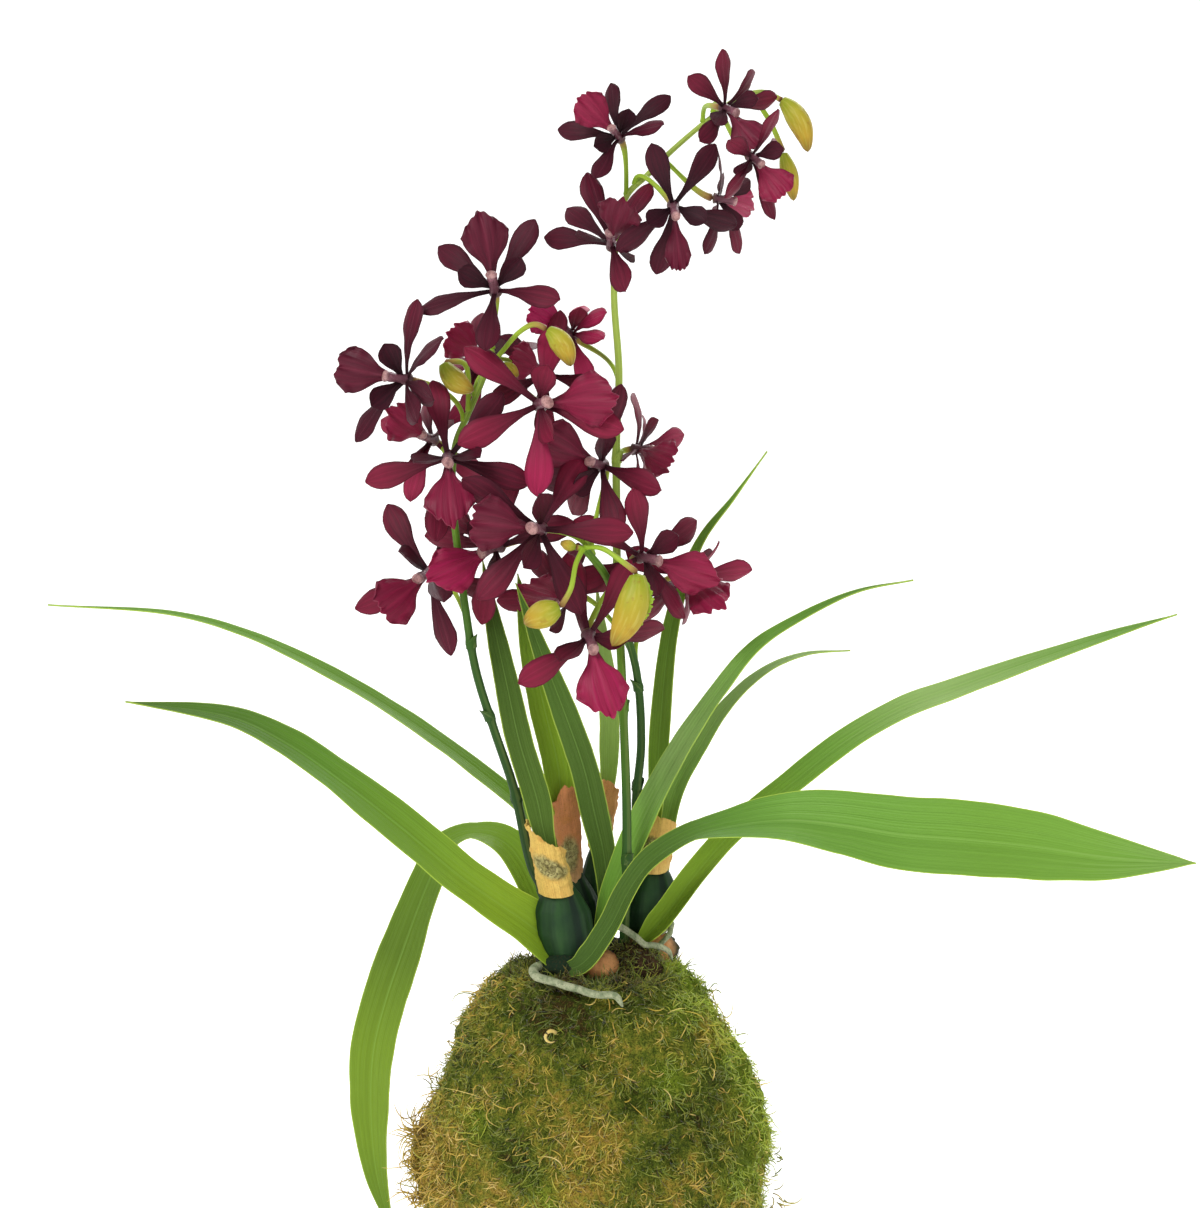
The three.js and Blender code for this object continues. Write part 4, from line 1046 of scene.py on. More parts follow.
# %% Make the stems with their stalks and buds
# Radius low down and at the tip, the path, the shares where its nodes sit, and its tint.
STEMS = {
    "flower_stem_left": (2, 1.1, [[-15, -2, 153], [-21, -4, 179], [-25, -5, 188], [-32, -7, 220],
        [-40, -9, 245], [-47, -11, 269], [-51, -12, 294], [-53, -11, 310], [-56, -6, 337],
        [-55, -2, 358], [-50, -1, 370], [-44, 0, 384], [-40, 3, 396]], [0.1, 0.26, 0.4, 0.52], 0.4),
    "flower_stem_middle": (1.9, 0.9, [[12, -5, 155], [13, -12, 184], [13, -14, 215], [12, -7, 244],
        [11, 1, 269], [9.5, 7, 296], [9, 12, 335], [9, 14, 358], [10, 14, 386], [8, 12, 417],
        [9, 9, 440], [13, 9, 456], [21, 11, 464], [29, 12, 472], [38, 13, 480], [48, 14, 488],
        [58, 14, 495], [67, 13, 497], [74, 8, 494]], [0.1, 0.26, 0.4, 0.52], 0.64),
    "flower_stem_right": (1.8, 1.5, [[12, 16, 155], [17.5, 15, 192], [17, 10, 212], [19, 4, 237],
        [17, -1, 267], [11, -9, 289], [5, -20, 307], [-4, -30, 320]], [0.14, 0.36, 0.6], 0.42),
}
# The tip of each bud, its width, how it bows, and the path of its stalk.
BUDS = {
    "flower_stem_left": [
        ([-9, -23, 390], 9, [3, 0, 2], [[-43, 0, 387], [-37, -4, 394], [-29, -9, 403],
         [-23, -13, 406], [-18, -16, 404]]),
        ([-47, -12, 380], 9, [-3, 0, -3], [[-50, -1, 371], [-51, -5, 390], [-59, -10, 391]]),
        ([-30, -4, 385], 5, [0, 0, 1], [[-42, 1, 389], [-36, -3, 390]]),
    ],
    "flower_stem_middle": [
        ([84, -2, 473], 9, [4, 0, 3], [[69, 12, 496], [74, 7, 493.5]]),
        ([79, 5, 454], 7, [1, 0, 0], [[62, 14, 496], [70, 13, 485], [75, 9, 473]]),
    ],
    "flower_stem_right": [
        ([7, -45, 283], 13, [5, 0, 0], [[-4, -30, 320], [3, -34, 320], [10, -38, 316],
         [17, -41, 311]]),
        ([-27, -47, 292], 11, [0, 0, 1], [[-4, -30, 320], [-7, -37, 314], [-9, -43, 305],
         [-13, -45, 298]]),
        ([-13, -32, 322], 4.5, [0, 0, 0], [[-4, -30, 319], [-7, -31, 320]]),
    ],
}

# Where its heart is, where it faces, its size, the stem it grows on and how high its stalk starts.
# Then come the angle and the reach of each tepal and of the lip, as seen from the front (a reach
# below 0 leans the other way), how crimson the tepals and the lip are (partly their own colour and
# partly painted light and shade), and one narrower lip.
BLOOMS = {
    "bloom_01": ([10, 8, 479], [-0.3, -0.85, 0.4], 0.8, "middle", 456, [[99, 22], [41, 26],
        [15, 18], [171, 25], [240, 19]], [136, 21], (0.15, 0.6)),
    "bloom_02": ([51, -10, 490], [0.6, -0.75, -0.1], 0.8, "middle", 484, [[94, 22], [46, 20],
        [141, 18], [12, 22], [235, 16]], [309, 20], (0.35, 0.4)),
    "bloom_03": ([61, -20, 471], [0.5, -0.8, -0.3], 0.8, "middle", 488, [[291, 26], [62, 20],
        [150, 10], [240, -18], [20, 14]], [308, 20], (0.35, 0.6)),
    "bloom_04": ([49, 8, 455], [0.93, -0.3, -0.1], 0.8, "middle", 468, [[261, 22], [90, 19],
        [75, 9], [296, 24], [262, -9]], [340, -14], (0.3, 0.7)),
    "bloom_05": ([31, -16, 452], [0.1, -0.97, -0.2], 0.9, "middle", 460, [[110, 24], [55, 29],
        [343, 27], [218, -28], [257, 28]], [275, 25], (0.1, 0.3), 0.6),
    "bloom_06": ([7, -6, 437], [-0.15, -0.8, 0.5], 0.95, "middle", 424, [[140, 24], [174, 27],
        [109, 30], [286, 17], [59, 29]], [77, 16], (0.3, 0.3)),
    "bloom_07": ([-39, -2, 419], [-0.1, -0.85, 0.45], 1, "left", 395, [[143, 29], [61, 32],
        [353, 26], [194, 32], [262, 23]], [101, 29], (0.25, 0.2)),
    "bloom_08": ([-74, -6, 384], [-0.8, -0.55, 0.15], 1, "left", 366, [[82, 32], [52, 22],
        [228, 32], [330, 12], [290, 16]], [168, 31], (0.25, 0.2)),
    "bloom_09": ([-57, -20, 354], [0, -0.98, 0.15], 1.05, "left", 330, [[103, 31], [196, 34],
        [262, 32], [344, 33], [50, 33]], [275, 20], (0.38, 0.5)),
    "bloom_10": ([-21, -18, 375], [0, -0.98, 0.15], 1.15, "left", 384, [[143, 37], [78, 31],
        [205, 35], [268, 34], [345, 33]], [7, 28], (0.72, 0.52)),
    "bloom_11": ([3, -4, 350], [-0.3, -0.9, 0.1], 1.05, "right", 316, [[341, 23], [283, 26],
        [77, 33], [240, 26], [200, 26]], [152, 27], (0.35, 0.4)),
    "bloom_12": ([-21, -29, 327], [-0.05, -0.98, 0.1], 1.15, "right", 318, [[57, 32], [359, 36],
        [228, 36], [296, 36], [146, -36]], [169, 26], (0.42, 0.35)),
    "bloom_13": ([-38, -8, 318], [-0.6, -0.75, -0.1], 1.05, "right", 315, [[257, 33], [150, 27],
        [175, 30], [20, 31], [80, 32]], [203, 27], (0.45, 0.7)),
    "bloom_14": ([-66, 4, 306], [-0.35, -0.9, 0], 1.07, "left", 275, [[124, 32], [285, 34],
        [206, 34], [60, -27], [340, -30]], [215, 22], (0.45, 0.48)),
    "bloom_15": ([19, -10, 314], [0.55, -0.8, 0], 1, "right", 290, [[95, 28], [28, 27], [305, 31],
        [200, 31], [150, 31]], [342, 30], (0.45, 0.62)),
    "bloom_16": ([36, 15, 303], [0.7, -0.7, 0], 1, "right", 270, [[48, -21], [3, 29], [279, 22],
        [150, 25], [220, 24]], [330, 16], (0.6, 0.6)),
    "bloom_17": ([-2, -30, 285], [0.15, -0.95, -0.2], 1.1, "right", 300, [[212, 31], [59, -34],
        [0, 31], [105, -33], [292, 34]], [287, 27], (0.55, 0.7)),
    "bloom_18": ([17, 26, 354], [0.9, -0.4, 0.05], 0.9, "middle", 345, [[88, 22], [12, 22],
        [270, 24], [60, 12], [300, 12]], [350, 14], (0.6, 0.5)),
    "bloom_19": ([-9, 36, 400], [-0.4, -0.8, 0.45], 0.85, "middle", 380, [[72, 13], [0, 12],
        [40, 16], [230, -20], [290, 20]], [146, 20], (0.85, 0.9)),
    "bloom_20": ([-19, 17, 385], [0, -0.95, 0.2], 0.85, "left", 388, [[78, 26], [143, 24],
        [205, 24], [268, 26], [345, 22]], [150, 16], (0.35, 0.6)),
    "bloom_21": ([-44, 32, 390], [-0.4, -0.85, 0.3], 0.9, "left", 376, [[100, 20], [195, 18],
        [250, 22], [320, -22], [20, -22]], [140, 18], (0.5, 0.7)),
    "bloom_22": ([-65, 12, 359], [-0.4, -0.9, 0.2], 0.95, "left", 335, [[163, 24], [40, -24],
        [250, 24], [320, -26], [100, 16]], [141, 18], (0.6, 0.6)),
    "bloom_23": ([-10, 12, 295], [-0.3, -0.9, -0.2], 0.95, "right", 262, [[185, 30], [135, 24],
        [20, -24], [300, 26], [80, -20]], [160, 19], (0.5, 0.5)),
}
WIDE_BUD = 12  # mm; a wider bud is opening along a seam
BRACT_LENGTH = 5


def square_to(values, axis):
    """The part of a direction that is square to an axis, at length 1."""
    return unit(values - axis * np.dot(values, axis))


def bract(name, spine, share, radius, turn, tint):
    """A pointed scale that clasps the stem."""
    middle = at(spine, np.array([share]))[0]
    up = unit(at(np.gradient(spine, axis=0), np.array([share])))[0]
    first = square_to(np.array([math.cos(turn), math.sin(turn), 0.1]), up)
    second = np.cross(up, first)

    def place(across, along):
        sweep = (2 * across - 1) * 2.3 * (1 - 0.75 * along ** 1.5)
        out = first * np.cos(sweep)[:, None] + second * np.sin(sweep)[:, None]
        wide = radius + 0.3 + 0.9 * along ** 3
        return middle + up * (along * BRACT_LENGTH - 1.5)[:, None] + out * wide[:, None]

    piece = lay_grid(name, 12, 8, place)
    thicken(piece, 0.3)
    number(piece, "tint", tint)
    piece.data.materials.append(stem_skin)
    return piece


def stalk(name, points, thin, swell):
    """A short stalk that swells towards the flower."""
    def radius(along):
        base = thin * (1 + 0.5 * np.exp(-(along / 0.06) ** 2))
        base = base * (1 + swell * np.clip((along - 0.45) / 0.5, 0, 1) ** 1.5)
        return base * (1 + 0.05 * wobble(along, name, 5))

    def grooves(across, along):
        return 1 + 0.07 * np.cos(across * 2 * math.pi * 3) * along

    piece = tube(name, points, radius, 12, 28, grooves)
    piece.data.materials.append(stalk_skin)
    return piece


def bowed(neck, tip, bow, shares):
    """Points along the bowed middle of a bud."""
    neck, tip, bow = (np.array(each, float) for each in (neck, tip, bow))
    t = shares[:, None]
    return neck * (1 - t) ** 2 + (neck + tip + 2 * bow) * t * (1 - t) + tip * t ** 2


def bud(name, neck, tip, bow, width):
    """A closed flower: three sepals that meet along seams."""
    def radius(along):
        swell = np.sin(math.pi * np.clip(along * 0.86 + 0.1, 0, 1)) ** 0.8
        return np.maximum(1, width / 2 * swell) * np.clip((1 - along) / 0.05, 0, 1) ** 0.5

    def seams(across, along):
        fold = np.abs(np.sin(across * math.pi * 3 + 0.5 + along)) ** 0.35
        return 0.88 + 0.13 * fold + 0.025 * wobble(across * 2 + along, name, 4)

    piece = tube(name, bowed(neck, tip, bow, np.linspace(0, 1, 40)), radius, 48, 32, seams)
    piece.data.materials.append(bud_skin)
    return piece


def ragged_ridge(name, neck, tip, bow, width):
    """A torn pale seam that stands up along the side of an opening bud."""
    def place(across, along):
        t = 0.12 + 0.8 * along
        middle = bowed(neck, tip, bow, t)
        out = width / 2 * np.sin(math.pi * (0.1 + 0.86 * t)) ** 0.8 - 0.6
        ragged = 1.5 + 0.8 * wobble(along * 6, name, 8)
        out = out + across * ragged * np.sin(math.pi * np.clip(along, 0.02, 0.98)) ** 0.5
        wave = 0.7 * np.sin(along * 34) * across
        return middle + np.stack([out, wave - 1.5, 0.35 * wave], axis=1)

    piece = lay_grid(name, 4, 60, place)
    thicken(piece, 0.35)
    piece.data.materials.append(stalk_skin)
    return piece


def bezier(points, count):
    """A curve that starts at the first point, ends at the last and is pulled by the two between."""
    a, b, c, d = (np.array(p, float) for p in points)
    t = np.linspace(0, 1, count)[:, None]
    return a * (1 - t) ** 3 + 3 * b * t * (1 - t) ** 2 + 3 * c * t ** 2 * (1 - t) + d * t ** 3


def flower_stem(name, radius, tip_radius, path, nodes, tint):
    spine = even_steps(path, 220)

    def thick(along):
        knots = sum(0.28 * np.exp(-((along - node) / 0.008) ** 2) for node in nodes)
        base = (radius + (tip_radius - radius) * along ** 1.5) * (1 + knots)
        return base * (1 + 0.03 * wobble(along, name, 9))

    stem = tube(name + "_stem", spine, thick, 18, 240)
    stem.data.materials.append(stem_skin)
    number(stem, "tint", tint)
    pieces = [stem]
    for count, share in enumerate(nodes):
        turn = 2.4 * count - 1.2
        pieces.append(bract(f"{name}_bract_{count}", spine, share, radius, turn, tint))
    for flower, (heart, faces, _, grows_on, height, *_) in BLOOMS.items():
        if grows_on not in name:
            continue
        start = spine[int(np.argmin(np.abs(spine[:, 2] - height)))]
        face = unit(faces)
        end = np.array(heart) - face * 1.6
        pull = np.linalg.norm(end - start) * 0.4
        points = bezier([start, start + np.array([0, 0, pull]), end - face * pull, end], 30)
        pieces.append(stalk(f"{name}_{flower}", points, 0.95, 0.55))
    for count, (tip, width, bow, path) in enumerate(BUDS[name]):
        root = spine[int(np.argmin(np.linalg.norm(spine - np.array(path[0]), axis=1)))]
        pieces.append(stalk(f"{name}_stalk_{count}", even_steps([root, *path[1:]], 30), 1, 0.2))
        pieces.append(bud(f"{name}_bud_{count}", path[-1], tip, bow, width))
        if width > WIDE_BUD:
            pieces.append(ragged_ridge(f"{name}_ridge_{count}", path[-1], tip, bow, width))
    dressed(join(pieces, name + "_fine"), "stem", name)


for name, sizes in STEMS.items():
    flower_stem(name, *sizes)
print("stems:", list(STEMS))

# %% [markdown]
# ## Flowers
# Each flower has five narrow tepals, a broad lip with two side lobes, and a column in the middle that
# carries the pollen. One tepal, one lip and one side lobe are modelled. Every flower is made of
# copies of them, and each copy is bent and twisted a little in its own way.

# %% Model one of each part
TEPAL_LENGTH, LIP_LENGTH, LOBE_LENGTH, LAID_OUT = 32, 29, 18, 30  # at size 1, and as modelled
PETAL_THICKNESS = 0.5
# A part lies flat: x across in millimetres at size 1, y along it from 0 to 1, z up from its face.
# Each outline lists half the width at shares along the part.
TEPAL_EDGE = [[0, 0.9], [0.2, 1.2], [0.42, 2.6], [0.6, 4.4], [0.74, 5.1], [0.87, 4.3],
              [0.96, 2.2], [1, 0.2]]
LIP_EDGE = [[0, 0.9], [0.2, 1.6], [0.36, 3.2], [0.56, 7.0], [0.74, 9.6], [0.9, 9.9], [1, 8.4]]
LOBE_EDGE = [[0, 0.7], [0.25, 1.6], [0.5, 3.6], [0.72, 4.9], [0.88, 4.2], [0.97, 2.2], [1, 0.4]]


def tepal_form(across, along):
    side = 2 * across - 1
    half = curve_value(TEPAL_EDGE, along)
    groove = -0.35 * np.exp(-(side / 0.16) ** 2) * np.clip(along * 3, 0, 1)
    rolled = -0.16 * half * side ** 2 * (0.4 + along)
    frill = 0.22 * np.sin(along * 21 + np.sign(side)) * np.abs(side) ** 3 * np.clip(along * 2, 0, 1)
    ribs = 0.07 * np.cos(side * math.pi * 5)
    return np.stack([side * half, along, groove + rolled + frill + ribs], axis=1)


def lip_form(across, along):
    side = 2 * across - 1
    half = curve_value(LIP_EDGE, along)
    end = -0.2 * np.abs(side) ** 3 + 0.012 * np.sin(across * 37)
    y = along + end * np.clip(along, 0, 1) ** 4
    frill = (0.8 * np.sin(across * 21 + 0.6) + 0.45 * np.sin(across * 43 + 1)) * along ** 5
    hem = 0.8 * np.sin(along * 22 + np.sign(side) * 2) * np.abs(side) ** 3 * along
    callus = 1.0 * np.exp(-(side / 0.3) ** 2 - ((along - 0.26) / 0.1) ** 2)
    groove = -0.4 * np.exp(-(side / 0.1) ** 2) * along
    return np.stack([side * half * (1 + 0.05 * np.sin(along * 14)), y,
                     -0.18 * half * np.abs(side) ** 1.6 + frill + hem + callus + groove], axis=1)


def lobe_form(across, along):
    side = 2 * across - 1
    half = curve_value(LOBE_EDGE, along)
    cupped = 0.28 * half * side ** 2 - 0.3 * np.exp(-(side / 0.2) ** 2)
    return np.stack([side * half, along, cupped], axis=1)


def flower_part(name, form, columns, rows, skin):
    """A flat part, laid out at full length so that its thickness comes out even."""
    def place(across, along):
        made = form(across, along)
        made[:, 1] *= LAID_OUT
        return made

    piece = lay_grid(name, columns, rows, place)
    thicken(piece, PETAL_THICKNESS, thin_edge=0.4, keep_under=True)
    piece.data.materials.append(skin)
    return piece


tepal = flower_part("tepal", tepal_form, 10, 20, petal_skin)
lip_blade = flower_part("lip", lip_form, 30, 24, lip_skin)
side_lobe = flower_part("side_lobe", lobe_form, 10, 14, petal_skin)
print("parts:", [len(p.data.polygons) for p in (tepal, lip_blade, side_lobe)])


# %% Place the parts
FRONT = np.array([0.0, -1.0, 0.0])


def clock_direction(pair, full, faces):
    """Where a part points. Its angle is seen from the front, and so is how far it reaches."""
    angle, reach = math.radians(pair[0]), pair[1]
    sideways = math.cos(angle) * faces[0] + math.sin(angle) * faces[2]
    lean = math.copysign(math.acos(min(1, abs(reach) / full)), reach)
    if sideways > 0:
        lean = -lean
    return np.array([math.cos(angle), 0, math.sin(angle)]) * math.cos(lean) + FRONT * math.sin(lean)


LIFT = 0.1  # how far the middle of a part rises off its straight line, as a share of its length


def copy_part(part, name, heart, way, look, length, size, dice, tint,
              curl=0.0, wide=1.0, point=0.0):
    """A part that starts at the heart, points one way and looks another. `point` draws it out."""
    copy = duplicate(part)
    copy.name = name
    flat = np.empty(len(copy.data.vertices) * 3)
    copy.data.vertices.foreach_get("co", flat)
    x, y, z = flat.reshape(-1, 3).T / MM * np.array([[size * wide], [1 / LAID_OUT], [size]])
    face = square_to(look, way)
    side = np.cross(face, way)
    t = y + point * np.exp(-(x / (3.2 * size)) ** 2) * y ** 4
    twist = dice.uniform(-0.5, 0.5) * t
    bend, sway = dice.uniform(-0.05, 0.05) + curl, dice.uniform(-0.05, 0.05)
    reach = 1.5 * (1 - t) ** 2 + length * t * (1 - t) + length * t ** 2
    rise = length * (2 * LIFT * t * (1 - t) + bend * t ** 3)
    sideways = length * sway * t ** 2 * (1 - t) * 2
    px = x * np.cos(twist) - z * np.sin(twist) + sideways
    pz = x * np.sin(twist) + z * np.cos(twist) + rise
    made = np.array(heart) + np.outer(px, side) + np.outer(reach, way) + np.outer(pz, face)
    copy.data.vertices.foreach_set("co", (made * MM).ravel())
    number(copy, "tint", tint)
    return copy


LIP_TURN = 0.6  # how far a lip turns its broad side from where the bloom faces to the front
LOBE_SPREAD = math.radians(52)  # between the lip and each side lobe
COLUMN_EDGE = [[0, 2.9], [0.25, 2.1], [0.55, 1.8], [0.74, 2.1], [0.8, 1.9], [0.88, 2.3],
               [0.96, 1.8], [1, 0.8]]


def bloom(name, heart, faces, size, stem, height, tepals, lip, tints, lip_wide=1):
    """One flower. Its stem and height only matter to its stalk, which is there already."""
    dice = random.Random(name)
    # The tints are partly the flower's own colour and partly painted light: lit flowers crimson,
    # shaded ones darker.
    tint, lip_tint = tints
    heart, face = np.array(heart, float), unit(faces)
    pieces = []
    for count, pair in enumerate(tepals):
        full = max(TEPAL_LENGTH * size, abs(pair[1]))
        way = clock_direction(pair, full, face)
        shade = min(1, max(0, tint + dice.uniform(-0.15, 0.15)))
        pieces.append(copy_part(tepal, f"{name}_tepal_{count}", heart, way, face, full, size,
                                dice, shade, curl=-0.04))
    way = clock_direction(lip, LIP_LENGTH * size, FRONT)
    lip_face = unit(face + (FRONT - face) * LIP_TURN)
    look = square_to(lip_face, way)
    pieces.append(copy_part(lip_blade, name + "_lip", heart, way, lip_face, LIP_LENGTH * size, size,
                            dice, lip_tint, wide=lip_wide, point=dice.uniform(-0.06, 0.14)))
    across = np.cross(look, way)
    for count, side in enumerate((-1, 1)):
        lobe_way = way * math.cos(LOBE_SPREAD) + across * side * math.sin(LOBE_SPREAD)
        pieces.append(copy_part(side_lobe, f"{name}_lobe_{count}", heart + face * 1.4 * size,
                                unit(lobe_way + look * 0.45), look, LOBE_LENGTH * size, size,
                                dice, max(0, tint - 0.2), curl=0.06))
    lean = unit(face + way * 0.35)
    arch = bezier([heart - face * 1.8, heart + face * 2 * size, heart + lean * 6.5 * size,
                   heart + lean * 9.2 * size + way * 1.2 * size], 24)

    def lobed(across, along):
        return 1 + 0.12 * np.cos(2 * across * 2 * math.pi) * np.clip((along - 0.78) / 0.1, 0, 1)

    head = tube(name + "_column", arch, lambda along: curve_value(COLUMN_EDGE, along) * size,
                24, 30, lobed)
    head.data.materials.append(column_skin)
    pieces.append(head)
    dressed(join(pieces, name + "_fine"), "bloom", name)


for name, sizes in BLOOMS.items():
    bloom(name, *sizes)
for part in (tepal, lip_blade, side_lobe):
    bpy.data.objects.remove(part)
print("flowers:", len(BLOOMS))

# %% [markdown]
# ## Moss
# The coat is a felt of living moss. Under it lies a lumpy skin, which is the plain ball turned again
# with more points. Over it grow some sixty thousand curly strands. They are far too many for a hand,
# so code lays each one: a thin three-sided spike that starts in the felt and lies over it.

# %% Colour zones
# The outside of the felt, under the fuzz that fills the plain model's outline.
MOSS_LINE = [(27, 0), (45, 9), (59, 22), (68.5, 41), (72, 60), (72, 74), (67.5, 91), (60, 107),
             (53, 123), (46, 135), (38, 143), (30, 146)]
CLOSED_LINE = [(0, 0), *MOSS_LINE, (27.3, 146), (27.3, 139.2), *reversed(WALL), (34, 7.9), (0, 7.9)]
# Patches that stand out in front: across, height, reach and tint.
PATCHES = [(-60, 88, 14, 0.74), (-70, 78, 9, 0.84), (-14, 107, 10, 0.68), (-5, 92, 9, 0.76),
           (-17, 124, 8, 0.5), (31, 116, 7, 0.5), (-36, 92, 7, 0.3), (-57, 112, 9, 0.36),
           (24, 109, 6, 0.12), (-22, 132, 8, 0.05), (47, 127, 8, 0.8), (6, 84, 8, 0.78),
           (36, 140, 8, 0.34), (-9, 141, 8, 0.04), (66, 90, 9, 0.5), (56, 78, 9, 0.3),
           (18, 132, 9, 0.44), (20, 80, 8, 0.26), (50, 108, 9, 0.04), (12, 143, 9, 0.06),
           (14, 106, 8, 0.16), (-28, 82, 9, 0.14), (-13, 138, 9, 0.0), (-3, 132, 7, 0.04),
           (-64, 62, 12, 0.8), (-40, 60, 9, 0.72), (8, 64, 8, 0.7), (52, 121, 6, 0.8),
           (4, 108, 5, 0.75), (-46, 134, 7, 0.72)]
# Lime patches in front: across, height and reach.
FRESH = [(30, 112, 8), (-18, 70, 7), (60, 70, 9), (36, 136, 8), (-46, 96, 6)]
FRONT_DEPTH = 10  # how far back the patches go, in mm past the middle


def felt_radius(height):
    """How far the felt reaches from the middle of the ball."""
    return np.interp(height, [z for _, z in MOSS_LINE], [r for r, _ in MOSS_LINE])


def soft_noise(spots, size, seed):
    """Smooth random values from -1 to 1 in space."""
    waves = np.random.default_rng(seed)
    total = np.zeros(len(spots))
    for _ in range(9):
        way = unit(waves.normal(size=3))
        turns = spots @ way * (6.28 / size) * waves.uniform(0.6, 1.7)
        total += np.sin(turns + waves.uniform(0, 6.28))
    return total / 3


def patch_share(spots, across, height, reach):
    """1 in the middle of a patch, and 0 far from it and on the back."""
    x, y, z = spots.T
    return np.exp(-((x - across) ** 2 + (z - height) ** 2) / reach ** 2) * (y < FRONT_DEPTH)


def moss_tints(spots):
    """Where the moss is green, golden or brown."""
    x, _, z = spots.T
    tint = 0.47 + 0.14 * soft_noise(spots, 34, 1) + 0.12 * soft_noise(spots, 12, 2)
    tint = tint + 0.09 * soft_noise(spots, 5, 4)
    tint = tint + 0.12 * np.exp(-((z - 60) / 40) ** 2) - 0.08 * np.clip((x - 5) / 30, 0, 1)
    for *patch, wanted in PATCHES:
        tint = tint + 0.75 * patch_share(spots, *patch) * (wanted - tint)
    return np.clip(tint, 0, 1)


def moss_lime_and_backlight(spots):
    """Where the moss is lime green: young moss in a few patches, and painted backlight down the right
    side.
    """
    x, _, z = spots.T
    # Painted backlight: the right edge of the ball turns lime.
    edge = np.clip((x / felt_radius(z) - 0.78) / 0.2, 0, 1) * (z > 24)
    lime_and_backlight = 0.9 * edge * (0.8 + 0.2 * soft_noise(spots, 9, 21))
    for patch in FRESH:
        lime_and_backlight = np.maximum(lime_and_backlight, 0.6 * patch_share(spots, *patch))
    return np.clip(lime_and_backlight, 0, 1)


# %% Make the felt
def lump(turn, height):
    """How far the moss swells, as in the plain model."""
    waves = np.sin(3 * turn + height / 14 + 1) + 0.7 * np.sin(5 * turn - height / 9)
    waves = waves + 0.5 * np.sin(8 * turn + height / 6 + 2)
    return waves * 1.5 * np.clip(np.minimum(height / 12, (146 - height) / 25), 0, 1)


def swell(made, turn):
    """Swells the outer side of the felt, and leaves its inner wall as it is."""
    radius = np.hypot(made[:, 0], made[:, 1])
    skin = (radius > felt_radius(made[:, 2]) - 3) & (made[:, 2] > 0.5)
    out = (radius + np.where(skin, lump(turn, made[:, 2]) - 0.8, 0)) / np.maximum(radius, 1e-6)
    made[:, 0] *= out
    made[:, 1] *= out
    return made


felt = turned("moss_felt_skin", CLOSED_LINE, 210, 230, swell)
for point in felt.data.vertices:
    radius, spot = math.hypot(point.co.x, point.co.y) / MM, point.co / MM
    if spot.z > 1 and radius > felt_radius(spot.z) - 5:
        rough = 1.7 * noise.noise(spot * 0.12) + 1.9 * noise.noise(spot * 0.26)
        point.co += point.normal * (rough + 0.9 * noise.noise(spot * 0.6)) * MM
        point.co.z = max(point.co.z, 0)
felt_spots = np.array([point.co / MM for point in felt.data.vertices])
number(felt, "tint", moss_tints(felt_spots))
number(felt, "lime_and_backlight", moss_lime_and_backlight(felt_spots))
dressed(felt, "moss", "moss_coat", moss_felt)
print("felt:", len(felt.data.polygons), "faces")

# %% Tools for the strands
dice = np.random.default_rng(7)
BUDGET = 172000  # triangles in each piece
CLUMP = 8  # strands in one tuft


def ground(piece, grows):
    """The faces of a piece that strands grow on: their middles, normals and chances."""
    faces = piece.data.polygons
    middles = np.array([face.center for face in faces]) / MM
    normals = np.array([face.normal for face in faces])
    _, y, z = middles.T
    radius = np.hypot(middles[:, 0], y)
    chances = np.array([face.area for face in faces]) * grows(radius, y, z, normals[:, 2])
    return middles, normals, chances / chances.sum()


def bend(starts, outward, heading, reach, steps, curl):
    """Spines that set out one way and curl as they go."""
    count = len(starts)
    side = unit(np.cross(outward, heading))
    turn_side = dice.normal(0, 0.9, (count, 1)) * curl
    turn_out = dice.normal(-0.4, 0.7, (count, 1)) * curl
    spine = [starts - outward * 0.8]
    for step in range(1, steps + 1):
        share = step / steps
        angle = turn_side * share
        bent = heading * np.cos(angle) + side * np.sin(angle) + outward * turn_out * share ** 2
        spine.append(spine[-1] + unit(bent) * reach / steps)
    return np.stack(spine, axis=1)


def grow(source, count, length, stand, steps, spread=1.5, curl=1.0):
    """Spines for many strands in small tufts: an array of strands by their points by x, y and z."""
    middles, normals, chances = source
    tufts = count // CLUMP
    count = tufts * CLUMP
    picked = np.repeat(dice.choice(len(middles), size=tufts, p=chances), CLUMP)
    outward = normals[picked]
    apart = dice.normal(0, spread, (count, 3))
    apart = apart - outward * np.sum(apart * outward, axis=1, keepdims=True)
    starts = middles[picked] + apart
    flow = 0.6 * np.stack([soft_noise(starts, 22, 11 + axis) for axis in range(3)], axis=1)
    flow[:, 2] -= 0.7
    lying = flow + np.repeat(dice.normal(0, 0.55, (tufts, 3)), CLUMP, axis=0)
    lying = lying + dice.normal(0, 0.35, (count, 3))
    lying = unit(lying - outward * np.sum(lying * outward, axis=1, keepdims=True))
    lying = lying - 0.7 * apart / length
    upright = stand * np.repeat(np.abs(dice.normal(0.8, 0.5, (tufts, 1))), CLUMP, axis=0)
    heading = unit(lying + outward * upright)
    reach = length * np.exp(dice.normal(0, 0.3, (count, 1)))
    tint = moss_tints(starts) + np.repeat(dice.normal(0, 0.12, tufts), CLUMP)
    return bend(starts, outward, heading, reach, steps, curl), tint


